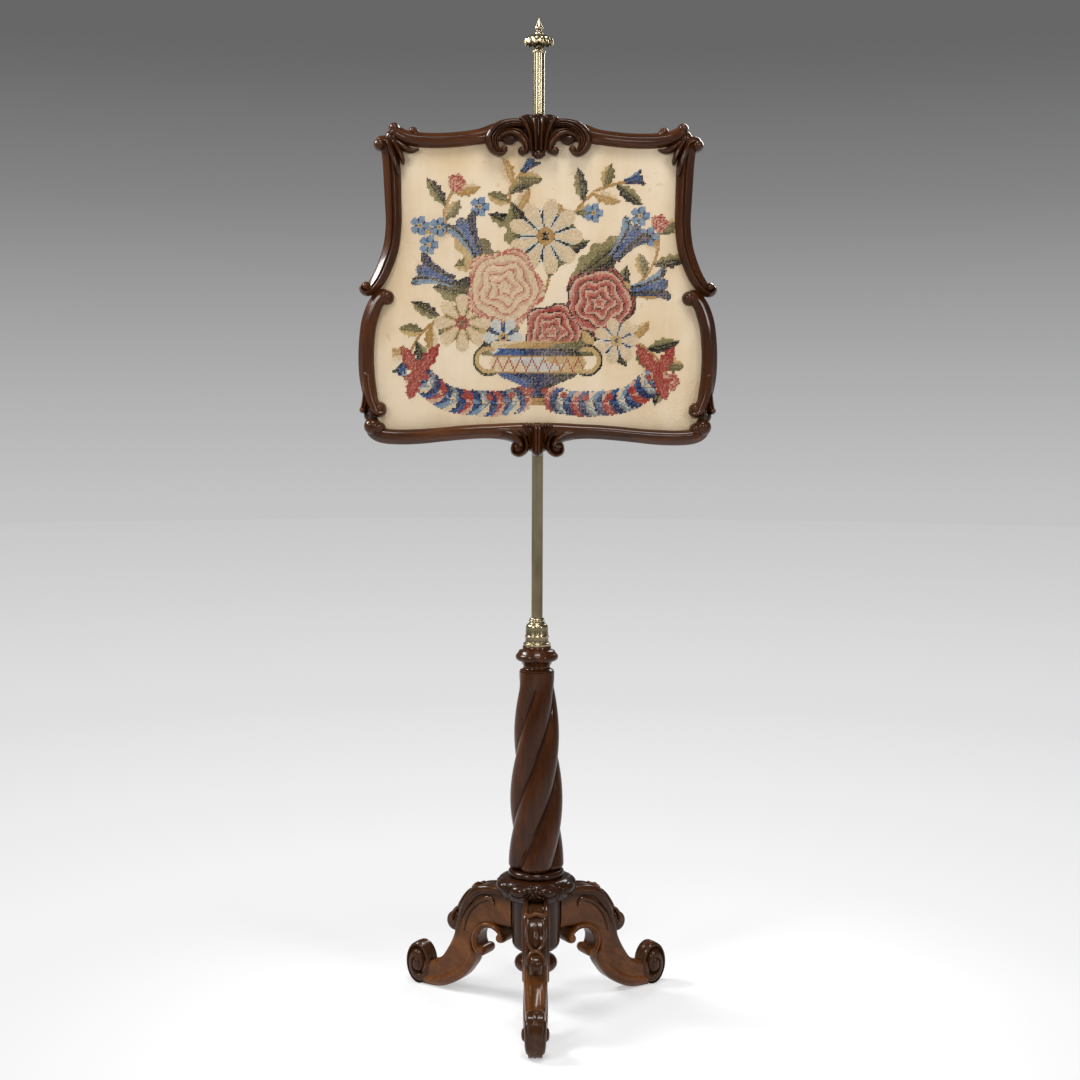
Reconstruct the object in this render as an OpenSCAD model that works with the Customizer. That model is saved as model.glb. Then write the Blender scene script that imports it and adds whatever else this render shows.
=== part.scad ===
// Pole screen: a needlework panel in a carved scroll frame that slides and turns on a brass pole.
// The pole stands in a twisted column on a turned hub with three scrolled legs.
// Every module is drawn about the pole's axis, with the front of the screen towards -Y.

/* [Legs] */
// Distance from the pole's axis to the tip of a toe
foot_reach = 220; // [200:5:245]
// Height of the top of a knee above the floor
knee_h = 170; // [164:1:172]
// Thickness of a leg at the knee
leg_w = 36; // [30:1:40]
// Thickness of a leg at the shin
shin_w = 36; // [32:1:42]
// Thickness of the toe between its two eyes
toe_core_w = 23; // [20:1:30]
// Radius of the scroll that ends a leg
toe_r = 32; // [28:1:34]
// Width of the toe scroll across its two eyes
toe_w = 36; // [32:1:44]
// Radius of the C-scroll under the knee
bracket_scroll_r = 24; // [20:1:26]
// Width of the neck of the leg's dovetail
dovetail_w = 12; // [8:1:14]
// Depth of the leg's dovetail in the hub
dovetail_d = 13; // [8:1:14]

/* [Hub] */
// Height of the underside of the hub above the floor
hub_bottom = 84; // [80:1:90]
// Height of the hub from its underside to the column's seat
hub_h = 119; // [117:1:130]
// Radius of the hub's plain barrel
hub_r = 34.5; // [33:0.5:38]
// Radius of the carved rim
hub_rim_r = 55.5; // [50:0.5:60]
// Number of carved ovals round the rim
oval_count = 8; // [3:1:9]
// Radius of the drop finial's bulb
drop_r = 31; // [24:1:33]

/* [Column] */
// Length of the twisted shaft
shaft_h = 286; // [240:2:340]
// Radius of the twisted shaft at its foot
shaft_foot_r = 39.6; // [36:0.2:42]
// Radius of the twisted shaft under the neck
shaft_top_r = 25; // [24:0.2:28]
// Number of lobes in the twist
lobe_count = 4; // [3:1:6]
// Height in which one lobe goes once round the column
twist_pitch = 420; // [300:10:700]
// Distance of a lobe's centre from the axis, as a share of the radius
lobe_reach = 0.46; // [0.2:0.02:0.5]
// Height of the turned neck
neck_h = 37; // [34:1:44]
// Radius of the neck's ring
neck_ring_r = 30.4; // [28:0.2:34]
// Length of the tenon that holds the column in the hub
tenon_h = 62; // [40:2:70]
// Radius of that tenon
tenon_r = 13; // [10:0.5:14]

/* [Pole] */
// Diameter of the brass pole
pole_d = 16; // [14:0.5:18]
// Wall of the pole's tube
pole_wall = 1.5; // [1:0.1:2.5]
// Length of pole that shows above the ferrule
pole_h = 787; // [700:1:900]
// Length of pole that is let into the column
pole_let_in = 64; // [40:2:90]
// Height of the ferrule
ferrule_h = 39; // [34:1:46]
// Radius of the ferrule's flange
ferrule_r = 19.6; // [18:0.2:20]
// Height of the finial above the top of the pole
finial_h = 48; // [44:1:60]
// Radius of the finial's scalloped canopy
canopy_r = 20.5; // [17:0.5:24]
// Number of scallops round the canopy
scallop_count = 12; // [8:1:16]

/* [Screen] */
// Width of the frame across its widest scrolls
screen_w = 496; // [440:2:560]
// Height of the frame from its cartouche to its crest
screen_h = 472; // [440:2:520]
// Height of the cartouche's underside above the floor
screen_z = 794; // [780:1:820]
// Depth of the frame from its back to the top of its moulding
frame_depth = 30; // [27:1:36]
// Width of the stiles' moulding
stile_w = 24; // [20:1:28]
// Width of the rails' moulding
rail_w = 21; // [17:1:24]
// Gap from the pole's axis to the back of the frame
standoff = 24; // [22:0.5:28]
// Thickness of the strainer bars
strainer_t = 11; // [8:0.5:13]
// Width of the strainer bars, from the rebate to the daylight inside
strainer_w = 34; // [24:1:44]
// Thickness of the needlework
needlework_t = 1; // [0.6:0.1:1.5]
// Thickness of the backboard
backboard_t = 3; // [2:0.5:4]

/* [Fittings] */
// Wall of the bracket rings round the pole
ring_wall = 3.5; // [2.5:0.25:4.5]
// Height of the bracket rings
ring_h = 10; // [8:1:14]
// Radius of the clamp collar
collar_r = 13; // [12:0.5:14]
// Height of the clamp collar
collar_h = 17; // [15:1:22]
// Diameter of the thumbscrew's shank
thumb_d = 5; // [4:0.5:6]
// Radius of the thumbscrew's knurled head
knob_r = 6; // [5:0.25:6.5]
// Diameter of the corner dowels
dowel_d = 5; // [4:0.5:6]
// Length of the corner dowels
dowel_l = 22; // [16:1:28]

/* [Hidden] */
$fn = 64;
fit = 0.06;        // gap of a glued or driven joint
slip = 0.12;       // gap of a ring that runs on the pole
clear = 0.3;       // gap between pieces that only lie side by side
pole_r = pole_d / 2;
pole_bore = pole_r - pole_wall;
column_seat = hub_bottom + hub_h;
column_top = column_seat + shaft_h + neck_h;
pole_top = column_top + ferrule_h + pole_h;
frame_back = -standoff;
panel_recess = 2;
strainer_near = panel_recess + backboard_t;
needlework_near = strainer_near + strainer_t;
rebate_d = needlework_near + needlework_t + clear;
// Toe scroll with an eye on each side, as [distance from the leg's middle, radius], and half its length
toe_eye = toe_w / 2;
toe_profile = [[toe_core_w / 2 - 1, toe_r], [toe_core_w / 2, toe_r - 1], [toe_core_w / 2 + 1, toe_r - 5],
               [toe_eye - 4.5, toe_r - 8], [toe_eye - 4, toe_r - 13], [toe_eye - 1, toe_r - 15],
               [toe_eye, toe_r - 18]];
toe_half = 22;
toe_x = foot_reach - toe_half;
back_toe_y = max([for (p = toe_profile) (toe_x + p[1] * toe_half / toe_r) * cos(60) + p[0] * sin(60)]);
pole_setback = (foot_reach - back_toe_y) / 2;   // centres the footprint on the origin
rosewood = [0.20, 0.09, 0.05];
pine = [0.62, 0.47, 0.30];
brass = [0.62, 0.52, 0.28];
canvas = [0.80, 0.70, 0.52];
leg_turns = [-90, 150, 30];

// Curves and lofts

// A point on a circle
function on_circle(r, a) = r * [cos(a), sin(a)];

// Points of an arc about a centre, from one angle to another
function arc(c, r, a0, a1, n = 8) = [for (i = [0:n]) c + on_circle(r, a0 + (a1 - a0) * i / n)];

// A quarter of an ellipse from [rx, 0] to [0, ry], for domes
function quarter(rx, ry, n = 6) = [for (i = [0:n]) [rx * cos(90 * i / n), ry * sin(90 * i / n)]];

// One stretch of a Catmull-Rom curve through b and c
function knot(a, b, c, d, t) =
    0.5 * (2 * b + (c - a) * t + (2 * a - 5 * b + 4 * c - d) * t * t + (3 * b - a - 3 * c + d) * t * t * t);

// A smooth run through the stations, with some steps between each pair
function smooth(p, steps) = [
    for (i = [0:len(p) - 2]) for (k = [0:steps - 1])
        knot(p[max(0, i - 1)], p[i], p[i + 1], p[min(len(p) - 1, i + 2)], k / steps),
    p[len(p) - 1]];

function backwards(p) = [for (i = [len(p) - 1:-1:0]) p[i]];

function unit(v) = v / norm(v);

// Joins rings of equal size into one closed solid
module loft(rings) {
    n = len(rings[0]);
    last = len(rings) - 1;
    sides = [for (i = [0:last - 1]) for (k = [0:n - 1])
        let (a = i * n + k, b = i * n + (k + 1) % n) each [[a, a + n, b], [b, a + n, b + n]]];
    caps = [for (k = [1:n - 2]) each [[0, k, k + 1], [last * n, last * n + k + 1, last * n + k]]];
    polyhedron([for (r = rings) each r], concat(sides, caps), convexity = 6);
}

// An egg: half an ellipse turned about its long axis, which stands upright
module egg(r, half_l) {
    rotate_extrude($fn = 32) polygon([for (a = [90:-15:-90]) [r * cos(a), half_l * sin(a)]]);
}

// Mouldings of the frame

// Sections with a flat back, as shares of the width, outer side first, and of the depth
// A half-round reed
reed = concat([[0.5, 0]], [for (a = [0:30:180]) [0.5 * cos(a), 0.45 + 0.55 * sin(a)]], [[-0.5, 0]]);
// A bold ridge with a bead along its inner side
moulding = concat([[0.5, 0]], [for (a = [0:30:150]) [0.13 + 0.37 * cos(a), 0.45 + 0.55 * sin(a)]],
                  [for (a = [50:65:180]) [-0.34 + 0.16 * cos(a), 0.68 + 0.16 * sin(a)]], [[-0.5, 0]]);
// Three reeds side by side
three_reeds = [for (k = [1, 0, -1], a = [25, 90, 155]) [k / 3 + cos(a) / 6, 0.7 + 0.3 * sin(a)]];
reeds = concat([[0.5, 0], [0.5, 0.6]], three_reeds, [[-0.5, 0.6], [-0.5, 0]]);

// A moulding carried along stations of [x, z, width, depth] on the frame's back
module scroll(stations, section = reed, steps = 3) {
    p = smooth(stations, steps);
    last = len(p) - 1;
    loft([for (i = [0:last])
        let (ahead = p[min(last, i + 1)] - p[max(0, i - 1)], t = unit([ahead[0], ahead[1]]))
        [for (m = section) [p[i][0] - t[1] * m[0] * p[i][2], frame_back - m[1] * p[i][3],
                            p[i][1] + t[0] * m[0] * p[i][2]]]]);
}

// A round button that ends a scroll, standing on the frame's back, with its depth as a share of the frame's
module button(at, r, depth) {
    half = depth * frame_depth / 2;
    translate([at[0], frame_back, at[1]]) rotate([90, 0, 0]) rotate_extrude()
        polygon(concat([[0, 0], [r, 0]], [for (q = quarter(r, half)) q + [0, half]]));
}

// Places are shares of the half width and of the height, so that the carving follows the frame
function place(u, v) = [u * screen_w / 2, screen_z + v * screen_h];
// Rows of [across, up, width in mm, depth as a share] for the right half become stations
function run(rows) = [for (r = rows) concat(place(r[0], r[1]), [r[2], r[3] * frame_depth])];
// Runs go clockwise seen from the front, so that a moulding's ridge lies outside and its bead inside
function other_side(p) = backwards([for (s = p) [-s[0], s[1], s[2], s[3]]]);
function both_sides(half) = concat(other_side(half), [for (i = [1:len(half) - 1]) half[i]]);

// Half of the top rail, from the middle to its turned-up end
top_half = run([[0, 0.947, rail_w + 17, 0.9], [0.2, 0.944, rail_w + 11, 0.9], [0.32, 0.93, rail_w + 1, 0.88],
                [0.43, 0.922, rail_w, 0.84], [0.54, 0.918, rail_w, 0.84], [0.65, 0.919, rail_w, 0.86],
                [0.73, 0.926, rail_w - 1, 0.9], [0.777, 0.94, rail_w - 5, 0.9],
                [0.798, 0.953, rail_w - 9, 0.84]]);
// Upper scroll of a stile, from under the top rail down to its outer curl
upper_run = run([[0.862, 0.908, stile_w - 4, 0.84], [0.819, 0.885, stile_w, 0.9],
                 [0.808, 0.82, stile_w, 0.92], [0.802, 0.74, stile_w - 1, 0.9],
                 [0.8, 0.675, stile_w - 2, 0.9], [0.817, 0.606, stile_w - 2, 0.92],
                 [0.864, 0.541, stile_w - 2, 0.95], [0.908, 0.505, stile_w - 5, 0.92],
                 [0.945, 0.491, stile_w - 9, 0.86]]);
// Lower scroll of a stile, from its inner curl down to the bottom rail
lower_run = run([[0.825, 0.474, stile_w - 11, 0.8], [0.85, 0.47, stile_w - 6, 0.88],
                 [0.885, 0.447, stile_w - 3, 0.92], [0.92, 0.413, stile_w - 2, 0.95],
                 [0.943, 0.377, stile_w - 2, 0.95], [0.955, 0.308, stile_w - 2, 0.95],
                 [0.951, 0.238, stile_w - 2, 0.94], [0.934, 0.17, stile_w - 3, 0.9],
                 [0.918, 0.112, stile_w - 4, 0.8]]);
// Curl on the inner side of a stile's foot and leaf on its outer side
foot_curl_run = run([[0.945, 0.215, 12, 0.9], [0.93, 0.165, 14, 0.94], [0.905, 0.138, 12, 0.92],
                     [0.88, 0.139, 8, 0.86]]);
foot_leaf_run = run([[0.955, 0.2, 9, 0.76], [0.962, 0.16, 10, 0.8], [0.974, 0.139, 8, 0.76]]);
// Half of the bottom rail, from the middle to its rounded corner
bottom_half = run([[0, 0.073, rail_w + 14, 0.86], [0.14, 0.077, rail_w + 6, 0.86],
                   [0.24, 0.078, rail_w, 0.84], [0.33, 0.077, rail_w - 1, 0.84],
                   [0.435, 0.073, rail_w - 1, 0.84], [0.55, 0.067, rail_w - 1, 0.84],
                   [0.66, 0.062, rail_w, 0.86], [0.775, 0.06, rail_w, 0.88],
                   [0.86, 0.066, rail_w + 2, 0.88], [0.915, 0.088, rail_w + 3, 0.88],
                   [0.926, 0.125, rail_w + 1, 0.84]]);

// Outline of the rebate on the right half: it runs under the mouldings and is closed at the corners
rebate_shares = [[0, 0.925], [0.32, 0.915], [0.43, 0.912], [0.54, 0.91], [0.65, 0.91], [0.74, 0.903],
                 [0.785, 0.87], [0.795, 0.82], [0.792, 0.74], [0.79, 0.675], [0.807, 0.606],
                 [0.855, 0.541], [0.885, 0.49], [0.905, 0.43], [0.938, 0.377], [0.95, 0.308],
                 [0.946, 0.238], [0.928, 0.17], [0.905, 0.125], [0.85, 0.085], [0.775, 0.072],
                 [0.66, 0.072], [0.55, 0.075], [0.435, 0.081], [0.33, 0.085], [0, 0.092]];
rebate_half = [for (q = rebate_shares) place(q[0], q[1])];
rebate_run = smooth(rebate_half, 3);
rebate_loop = concat(rebate_run, [for (p = backwards(rebate_run)) if (p[0] > 0.01) [-p[0], p[1]]]);

// The loop drawn in by a gap
function drawn_in(loop, gap) = [for (i = [0:len(loop) - 1])
    let (n = len(loop), t = unit(loop[(i + 1) % n] - loop[(i + n - 1) % n])) loop[i] + gap * [t[1], -t[0]]];

// A plate of the loop's outline, from one depth behind the frame's back to another
module panel_plate(gap, near, far) {
    translate([0, frame_back - near, 0]) rotate([90, 0, 0]) linear_extrude(far - near)
        polygon(drawn_in(rebate_loop, gap));
}

// Corner joints of the frame: a point on each right-hand joint and the slope of its cut
top_joint = place(0.8, 0.93);
top_joint_slope = 22;
bottom_joint = place(0.9, 0.119);
bottom_joint_slope = 0;

// Everything on the upper side of a corner joint, or on its lower side
module joint_side(joint, slope, side, upper) {
    reach = 2 * screen_w;
    translate([side * joint[0], 0, joint[1]]) rotate([0, -side * slope, 0])
        translate([-reach / 2, -reach / 2, upper ? 0 : -reach]) cube(reach);
}

// The four dowels across the corner joints, grown by a gap
dowel_y = frame_back - frame_depth * 0.68;
top_dowel_shift = 2;
bottom_dowel_shift = 8;
module dowel(joint, slope, shift, side, gap) {
    translate([side * joint[0], dowel_y, joint[1]]) rotate([0, -side * slope, 0])
        translate([side * shift, 0, -dowel_l / 2 - gap])
            cylinder(d = dowel_d + 2 * gap, h = dowel_l + 2 * gap);
}
module dowels(gap) {
    for (side = [-1, 1]) {
        dowel(top_joint, top_joint_slope, top_dowel_shift, side, gap);
        dowel(bottom_joint, bottom_joint_slope, bottom_dowel_shift, side, gap);
    }
}

// Everything that is cut out of the frame: the rebate and the holes for dowels, brads and screws
module frame_cuts() {
    panel_plate(0, -1, rebate_d);
    dowels(fit);
    brads(fit);
    at_screws() translate([0, 0, -screw_l - fit]) cylinder(d = screw_d + 2 * fit, h = screw_l + 1, $fn = 32);
}

// Shell cresting on the top rail: ribs fan out of a foot, between a pair of leaves and a pair of C-scrolls
rib_spread = 0.04;
leaf_run = run([[0.2, 0.93, 8, 0.8], [0.127, 0.936, 11, 0.95], [0.081, 0.923, 11, 1.02], [0.06, 0.903, 9, 1],
                [0.075, 0.888, 7, 0.9]]);
c_scroll_run = run([[0.06, 0.964, 12, 0.95], [0.143, 0.965, 14, 1], [0.215, 0.954, 15, 1.04],
                    [0.256, 0.928, 16, 1.04], [0.25, 0.901, 14, 1], [0.215, 0.885, 10, 0.95],
                    [0.18, 0.89, 6, 0.85]]);
module crest() {
    for (k = [-2.5:2.5]) {
        u = k * rib_spread;
        scroll(run([[u * 0.3, 0.882, 5, 0.9], [u * 0.45, 0.92, 6.5, 1.04], [u * 0.75, 0.965, 10, 1.08],
                    [u, 0.99, 10, 0.9]]));
    }
    button(place(0, 0.882), 6.5, 0.86);
    for (side = [-1, 1]) {
        scroll(side > 0 ? leaf_run : other_side(leaf_run));
        scroll(side > 0 ? c_scroll_run : other_side(c_scroll_run), reeds);
        button(place(side * 0.083, 0.888), 5.5, 1);
    }
}

module top_rail() {
    color(rosewood) difference() {
        intersection() {
            union() {
                scroll(both_sides(top_half), moulding, 2);
                for (side = [-1, 1]) {
                    button(place(side * 0.797, 0.953), 7, 0.88);
                    button(place(side * 0.785, 0.938), 10, 0.74);
                    button(place(side * 0.705, 0.949), 6, 0.5);
                }
                crest();
            }
            joint_side(top_joint, top_joint_slope, 1, true);
            joint_side(top_joint, top_joint_slope, -1, true);
        }
        frame_cuts();
    }
}

// Cartouche under the bottom rail: a fan of ribs over a stem, between two curls
curl_run = run([[0.22, 0.08, 11, 0.88], [0.13, 0.07, 14, 0.96], [0.082, 0.047, 12, 1], [0.072, 0.027, 10, 1],
                [0.088, 0.01, 8, 0.96], [0.118, 0.008, 7, 0.9], [0.138, 0.024, 6, 0.84]]);
module cartouche() {
    for (k = [-2:2])
        scroll(run([[k * 0.012, 0.035, 7, 0.9], [k * 0.028, 0.07, 8, 1], [k * 0.05, 0.1, 9, 0.84]]));
    scroll(run([[0, 0.008, 10, 0.86], [0, 0.03, 13, 1.02], [0, 0.06, 9, 0.96]]));
    for (side = [-1, 1]) {
        scroll(side > 0 ? curl_run : other_side(curl_run));
        button(place(side * 0.106, 0.03), 7, 0.84);
    }
}

module bottom_rail() {
    color(rosewood) difference() {
        intersection() {
            union() {
                scroll(backwards(both_sides(bottom_half)), moulding, 2);
                for (side = [-1, 1]) button(place(side * 0.922, 0.1), 11, 0.9);
                cartouche();
            }
            joint_side(bottom_joint, bottom_joint_slope, 1, false);
            joint_side(bottom_joint, bottom_joint_slope, -1, false);
        }
        frame_cuts();
    }
}

// Three leaf reeds that fan out in the inner angle under the top rail
leaf_root = place(0.835, 0.905);
leaf_tips = [place(0.7, 0.903), place(0.735, 0.879), place(0.765, 0.852)];
module corner_leaf() {
    for (tip = leaf_tips) {
        bulge = 0.5 * (leaf_root + tip) + [0.01 * screen_w, 0];
        scroll(other_side([concat(leaf_root, [12, frame_depth * 0.84]),
                           concat(bulge, [15, frame_depth * 0.9]), concat(tip, [6, frame_depth * 0.7])]));
    }
}

// Curled ends of a stile and the swellings between them, as [across, up, radius, depth as a share]
stile_buttons = [[0.869, 0.907, 9, 0.9], [0.825, 0.905, 15, 0.72], [0.957, 0.493, 8.5, 0.92],
                 [0.895, 0.487, 11, 0.7], [0.824, 0.475, 8, 0.86], [0.878, 0.139, 8, 0.88],
                 [0.973, 0.138, 6.5, 0.76], [0.925, 0.132, 13, 0.62]];
// The left stile; the right one is its mirror image
module stile() {
    color(rosewood) difference() {
        intersection() {
            union() {
                for (p = [upper_run, lower_run]) scroll(other_side(p), moulding);
                for (p = [foot_curl_run, foot_leaf_run]) scroll(other_side(p));
                corner_leaf();
                for (b = stile_buttons) button(place(-b[0], b[1]), b[2], b[3]);
            }
            joint_side(top_joint, top_joint_slope, -1, false);
            joint_side(bottom_joint, bottom_joint_slope, -1, true);
        }
        frame_cuts();
    }
}

module corner_dowels() {
    color(pine) dowels(0);
}

// Panel in the rebate

// The strainer's bars lie between the rebate and a straight-sided daylight, and are mitred at its corners
daylight_half = [place(0.8, 0)[0] - strainer_w, (place(0, 0.9)[1] - place(0, 0.12)[1]) / 2 - strainer_w];
daylight_mid = place(0, 0.51);
module strainer_bar(turn) {
    signs = [[1, 1], [-1, 1], [-1, -1], [1, -1]];
    corners = [for (q = signs) [q[0] * daylight_half[0], q[1] * daylight_half[1]]];
    a = corners[turn];
    b = corners[(turn + 1) % 4];
    past_the_rebate = 3;
    mitre_gap = clear / 2 * unit(a + b);
    color(pine) translate([0, frame_back - strainer_near, 0]) rotate([90, 0, 0]) linear_extrude(strainer_t)
        intersection() {
            difference() {
                polygon(drawn_in(rebate_loop, clear));
                translate(daylight_mid) square(2 * daylight_half, center = true);
            }
            // The wedge from the middle of the daylight through two of its corners
            translate(daylight_mid + mitre_gap) polygon([[0, 0], past_the_rebate * a, past_the_rebate * b]);
        }
}

module needlework() {
    color(canvas) panel_plate(clear, needlework_near, needlework_near + needlework_t);
}

module backboard() {
    color(rosewood) panel_plate(clear, panel_recess, panel_recess + backboard_t);
}

// Brads lie on the backboard and are driven sideways into the wall of the rebate
brad_d = 1.4;
brad_l = 12;
// Point of the rebate's outline and direction of each brad on the right half
brad_places = [[2, 0], [8, 90], [15, 90], [23, 180]];
module brads(gap) {
    for (side = [-1, 1], b = brad_places) {
        at = rebate_half[b[0]];
        translate([side * at[0], frame_back - panel_recess + brad_d / 2, at[1]]) rotate([0, side * b[1], 0])
            translate([0, 0, -brad_l / 2]) cylinder(d = brad_d + 2 * gap, h = brad_l + gap, $fn = 24);
    }
}

module backboard_brads() {
    color(brass) brads(0);
}

// Fittings between the screen and the pole

// Brackets: a plate on the back of a rail with a ring that runs on the pole
plate_t = 2.5;
plate_w = 46;
plate_h = 16;
screw_d = 3.5;
screw_head_d = 7;
screw_l = 14;
screw_gap = 32;
upper_ring_z = place(0, 0.955)[1];
lower_ring_z = place(0, 0.05)[1];
ring_bore = pole_r + slip;
module bracket(z) {
    arm_l = standoff - ring_bore - plate_t / 2 - ring_wall / 2;
    color(brass) translate([0, 0, z]) difference() {
        union() {
            translate([-plate_w / 2, frame_back, -plate_h / 2]) cube([plate_w, plate_t, plate_h]);
            cylinder(r = ring_bore + ring_wall, h = ring_h, center = true);
            translate([-ring_wall, frame_back + plate_t / 2, -ring_h / 2])
                cube([2 * ring_wall, arm_l, ring_h]);
        }
        cylinder(r = ring_bore, h = ring_h + 2, center = true);
        translate([0, 0, -z]) at_screws() screw(fit);
    }
}

// A countersunk wood screw with its head flush with the plate, standing on the back of the frame
module screw(gap) {
    cone_h = (screw_head_d - screw_d) / 2;
    translate([0, 0, -screw_l]) cylinder(d = screw_d + 2 * gap, h = screw_l + plate_t, $fn = 32);
    translate([0, 0, plate_t - cone_h])
        cylinder(d1 = screw_d + 2 * gap, d2 = screw_head_d + 2 * gap, h = cone_h, $fn = 32);
}

module at_screws() {
    for (z = [upper_ring_z, lower_ring_z], x = [-1, 1])
        translate([x * screw_gap / 2, frame_back, z]) rotate([-90, 0, 0]) children();
}

module bracket_screws() {
    slot_w = 1;
    slot_d = 0.8;
    color(brass) at_screws() difference() {
        screw(0);
        translate([-screw_head_d, -slot_w / 2, plate_t - slot_d])
            cube([2 * screw_head_d, slot_w, slot_d + 1]);
    }
}

// Clamp collar under the upper ring, with its thumbscrew at the back
collar_z = upper_ring_z - ring_h / 2 - clear - collar_h;
knob_low = 0.5;   // keeps the head below the bracket's plate when the screen swings round
thumb_z = collar_z + knob_low + knob_r;
module clamp_collar() {
    bevel = 1;
    color(brass) difference() {
        translate([0, 0, collar_z]) rotate_extrude()
            polygon([[0, 0], [collar_r - bevel, 0], [collar_r, bevel], [collar_r, collar_h - bevel],
                     [collar_r - bevel, collar_h], [0, collar_h]]);
        translate([0, 0, collar_z - 1]) cylinder(r = ring_bore, h = collar_h + 2);
        translate([0, 0, thumb_z]) rotate([-90, 0, 0]) cylinder(d = thumb_d, h = collar_r + 1);
    }
}

// The head's length leaves room for the back of the frame, so that the screen can turn right round
module thumbscrew() {
    room = 2.5;
    bevel = 0.8;
    tip = pole_r + clear;
    head = collar_r + clear;
    end = standoff - room;
    color(brass) translate([0, 0, thumb_z]) rotate([-90, 0, 0]) rotate_extrude()
        polygon([[0, tip], [thumb_d / 2 - slip, tip], [thumb_d / 2 - slip, head], [knob_r - bevel, head],
                 [knob_r, head + bevel], [knob_r, end - bevel], [knob_r - bevel, end], [0, end]]);
}

// Pole, ferrule, cap and finial

module pole() {
    length = pole_let_in + ferrule_h + pole_h;
    color(brass) translate([0, 0, column_top - pole_let_in]) difference() {
        cylinder(r = pole_r, h = length);
        translate([0, 0, -1]) cylinder(r = pole_bore, h = length + 2);
    }
}

module ferrule() {
    throat = pole_r + 2.4;
    barrel = ferrule_r - 3;
    shoulder = ferrule_h - 13;
    color(brass) translate([0, 0, column_top]) difference() {
        rotate_extrude() polygon(concat(
            [[0, 0], [ferrule_r, 0]], arc([ferrule_r - 1.5, 2.5], 1.5, -30, 90, 4),
            [[barrel, 5.2], [barrel - 0.4, 12], [barrel + 0.6, 13.2], [barrel - 0.6, 14.4],
             [barrel - 0.8, shoulder]],
            arc([barrel - 6.8, shoulder], 6, 0, 62, 4),
            [[throat + 0.2, ferrule_h - 5], [throat + 0.8, ferrule_h - 3.4], [throat, ferrule_h - 1.8],
             [throat, ferrule_h - 0.6], [throat - 0.6, ferrule_h], [0, ferrule_h]]));
        translate([0, 0, -1]) cylinder(r = pole_r + fit, h = ferrule_h + 2);
    }
}

// The cap's plug fills the top of the tube and takes the finial's threaded stud
stud_r = 3;
stud_l = 12;
cap_flange = 3;
module pole_cap() {
    plug_r = pole_bore - fit;
    plug_l = stud_l + 6;
    lip = pole_r + 1.6;
    color(brass) translate([0, 0, pole_top]) difference() {
        rotate_extrude()
            polygon([[0, -plug_l], [plug_r - 1, -plug_l], [plug_r, 1 - plug_l], [plug_r, 0], [lip - 0.6, 0],
                     [lip, 0.8], [lip, cap_flange - 0.8], [pole_r, cap_flange], [0, cap_flange]]);
        translate([0, 0, cap_flange - stud_l]) cylinder(r = stud_r, h = stud_l + 1);
    }
}

module finial() {
    neck = 4.4;
    foot = cap_flange + clear;
    stud_low = cap_flange - stud_l + 1;
    canopy_low = cap_flange + 7;
    canopy_high = canopy_low + 12;
    cone_low = finial_h - 15;
    scallop_r = canopy_r * 2.35 / scallop_count;
    stem = [[0, stud_low], [stud_r - slip, stud_low], [stud_r - slip, foot], [neck + 1.5, foot],
            [neck + 1.5, foot + 1.2], [neck, foot + 2.7], [neck, canopy_low + 2]];
    canopy = concat([[canopy_r - 5, canopy_low + 1], [canopy_r - 2.5, canopy_low + 1.5]],
                    [for (q = quarter(canopy_r - 10, 7)) q + [7.5, canopy_low + 4]]);
    beads = concat([[5.2, canopy_high], [4, canopy_high + 0.6]],
                   arc([3.4, canopy_high + 2.6], 2.7, -50, 50, 4), [[3, canopy_high + 4.8]],
                   arc([2.6, canopy_high + 6.2], 1.9, -45, 45, 4));
    cone = [[2.6, cone_low - 1.6], [5.6, cone_low], [5.8, cone_low + 1], [4.6, cone_low + 4],
            [2.2, cone_low + 10], [0, finial_h]];
    color(brass) translate([0, 0, pole_top]) union() {
        rotate_extrude() polygon(concat(stem, canopy, beads, cone));
        for (i = [0:scallop_count - 1]) rotate((i + 0.5) * 360 / scallop_count)
            translate([canopy_r - scallop_r, 0, canopy_low + 6]) egg(scallop_r, 7);
    }
}

// Column: twisted shaft, turned neck and tenon

shaft_rings = 24;
lobe_sides = 10;
hollow_z = 163;   // height on the shaft at which hollows lie at its two sides
twist_start = 45 - 360 * hollow_z / twist_pitch;
// Radius of the shaft over its lobes, at a share of its height
function shaft_r(v) = shaft_foot_r - (shaft_foot_r - shaft_top_r) * v * v;
// Radius of a round lobe seen from the column's axis, as a share of the shaft's, at an angle from its middle
function lobe(angle, c) = c * cos(angle) + sqrt(pow(1 - c, 2) - pow(c * sin(angle), 2));
// A ring of lobes, drawn in by some amount; the lobes die out under the neck
function shaft_ring(v, shrink) =
    let (z = v * shaft_h, step = 360 / lobe_count, c = lobe_reach * min(1, 10 * (1 - v) + 0.1))
    [for (k = [0:lobe_count - 1], i = [0:lobe_sides - 1])
        let (inside = (i / lobe_sides - 0.5) * step,
             a = twist_start + 360 * z / twist_pitch + k * step + inside)
        concat(on_circle((shaft_r(v) - shrink) * lobe(inside, c), a), [z])];

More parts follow.
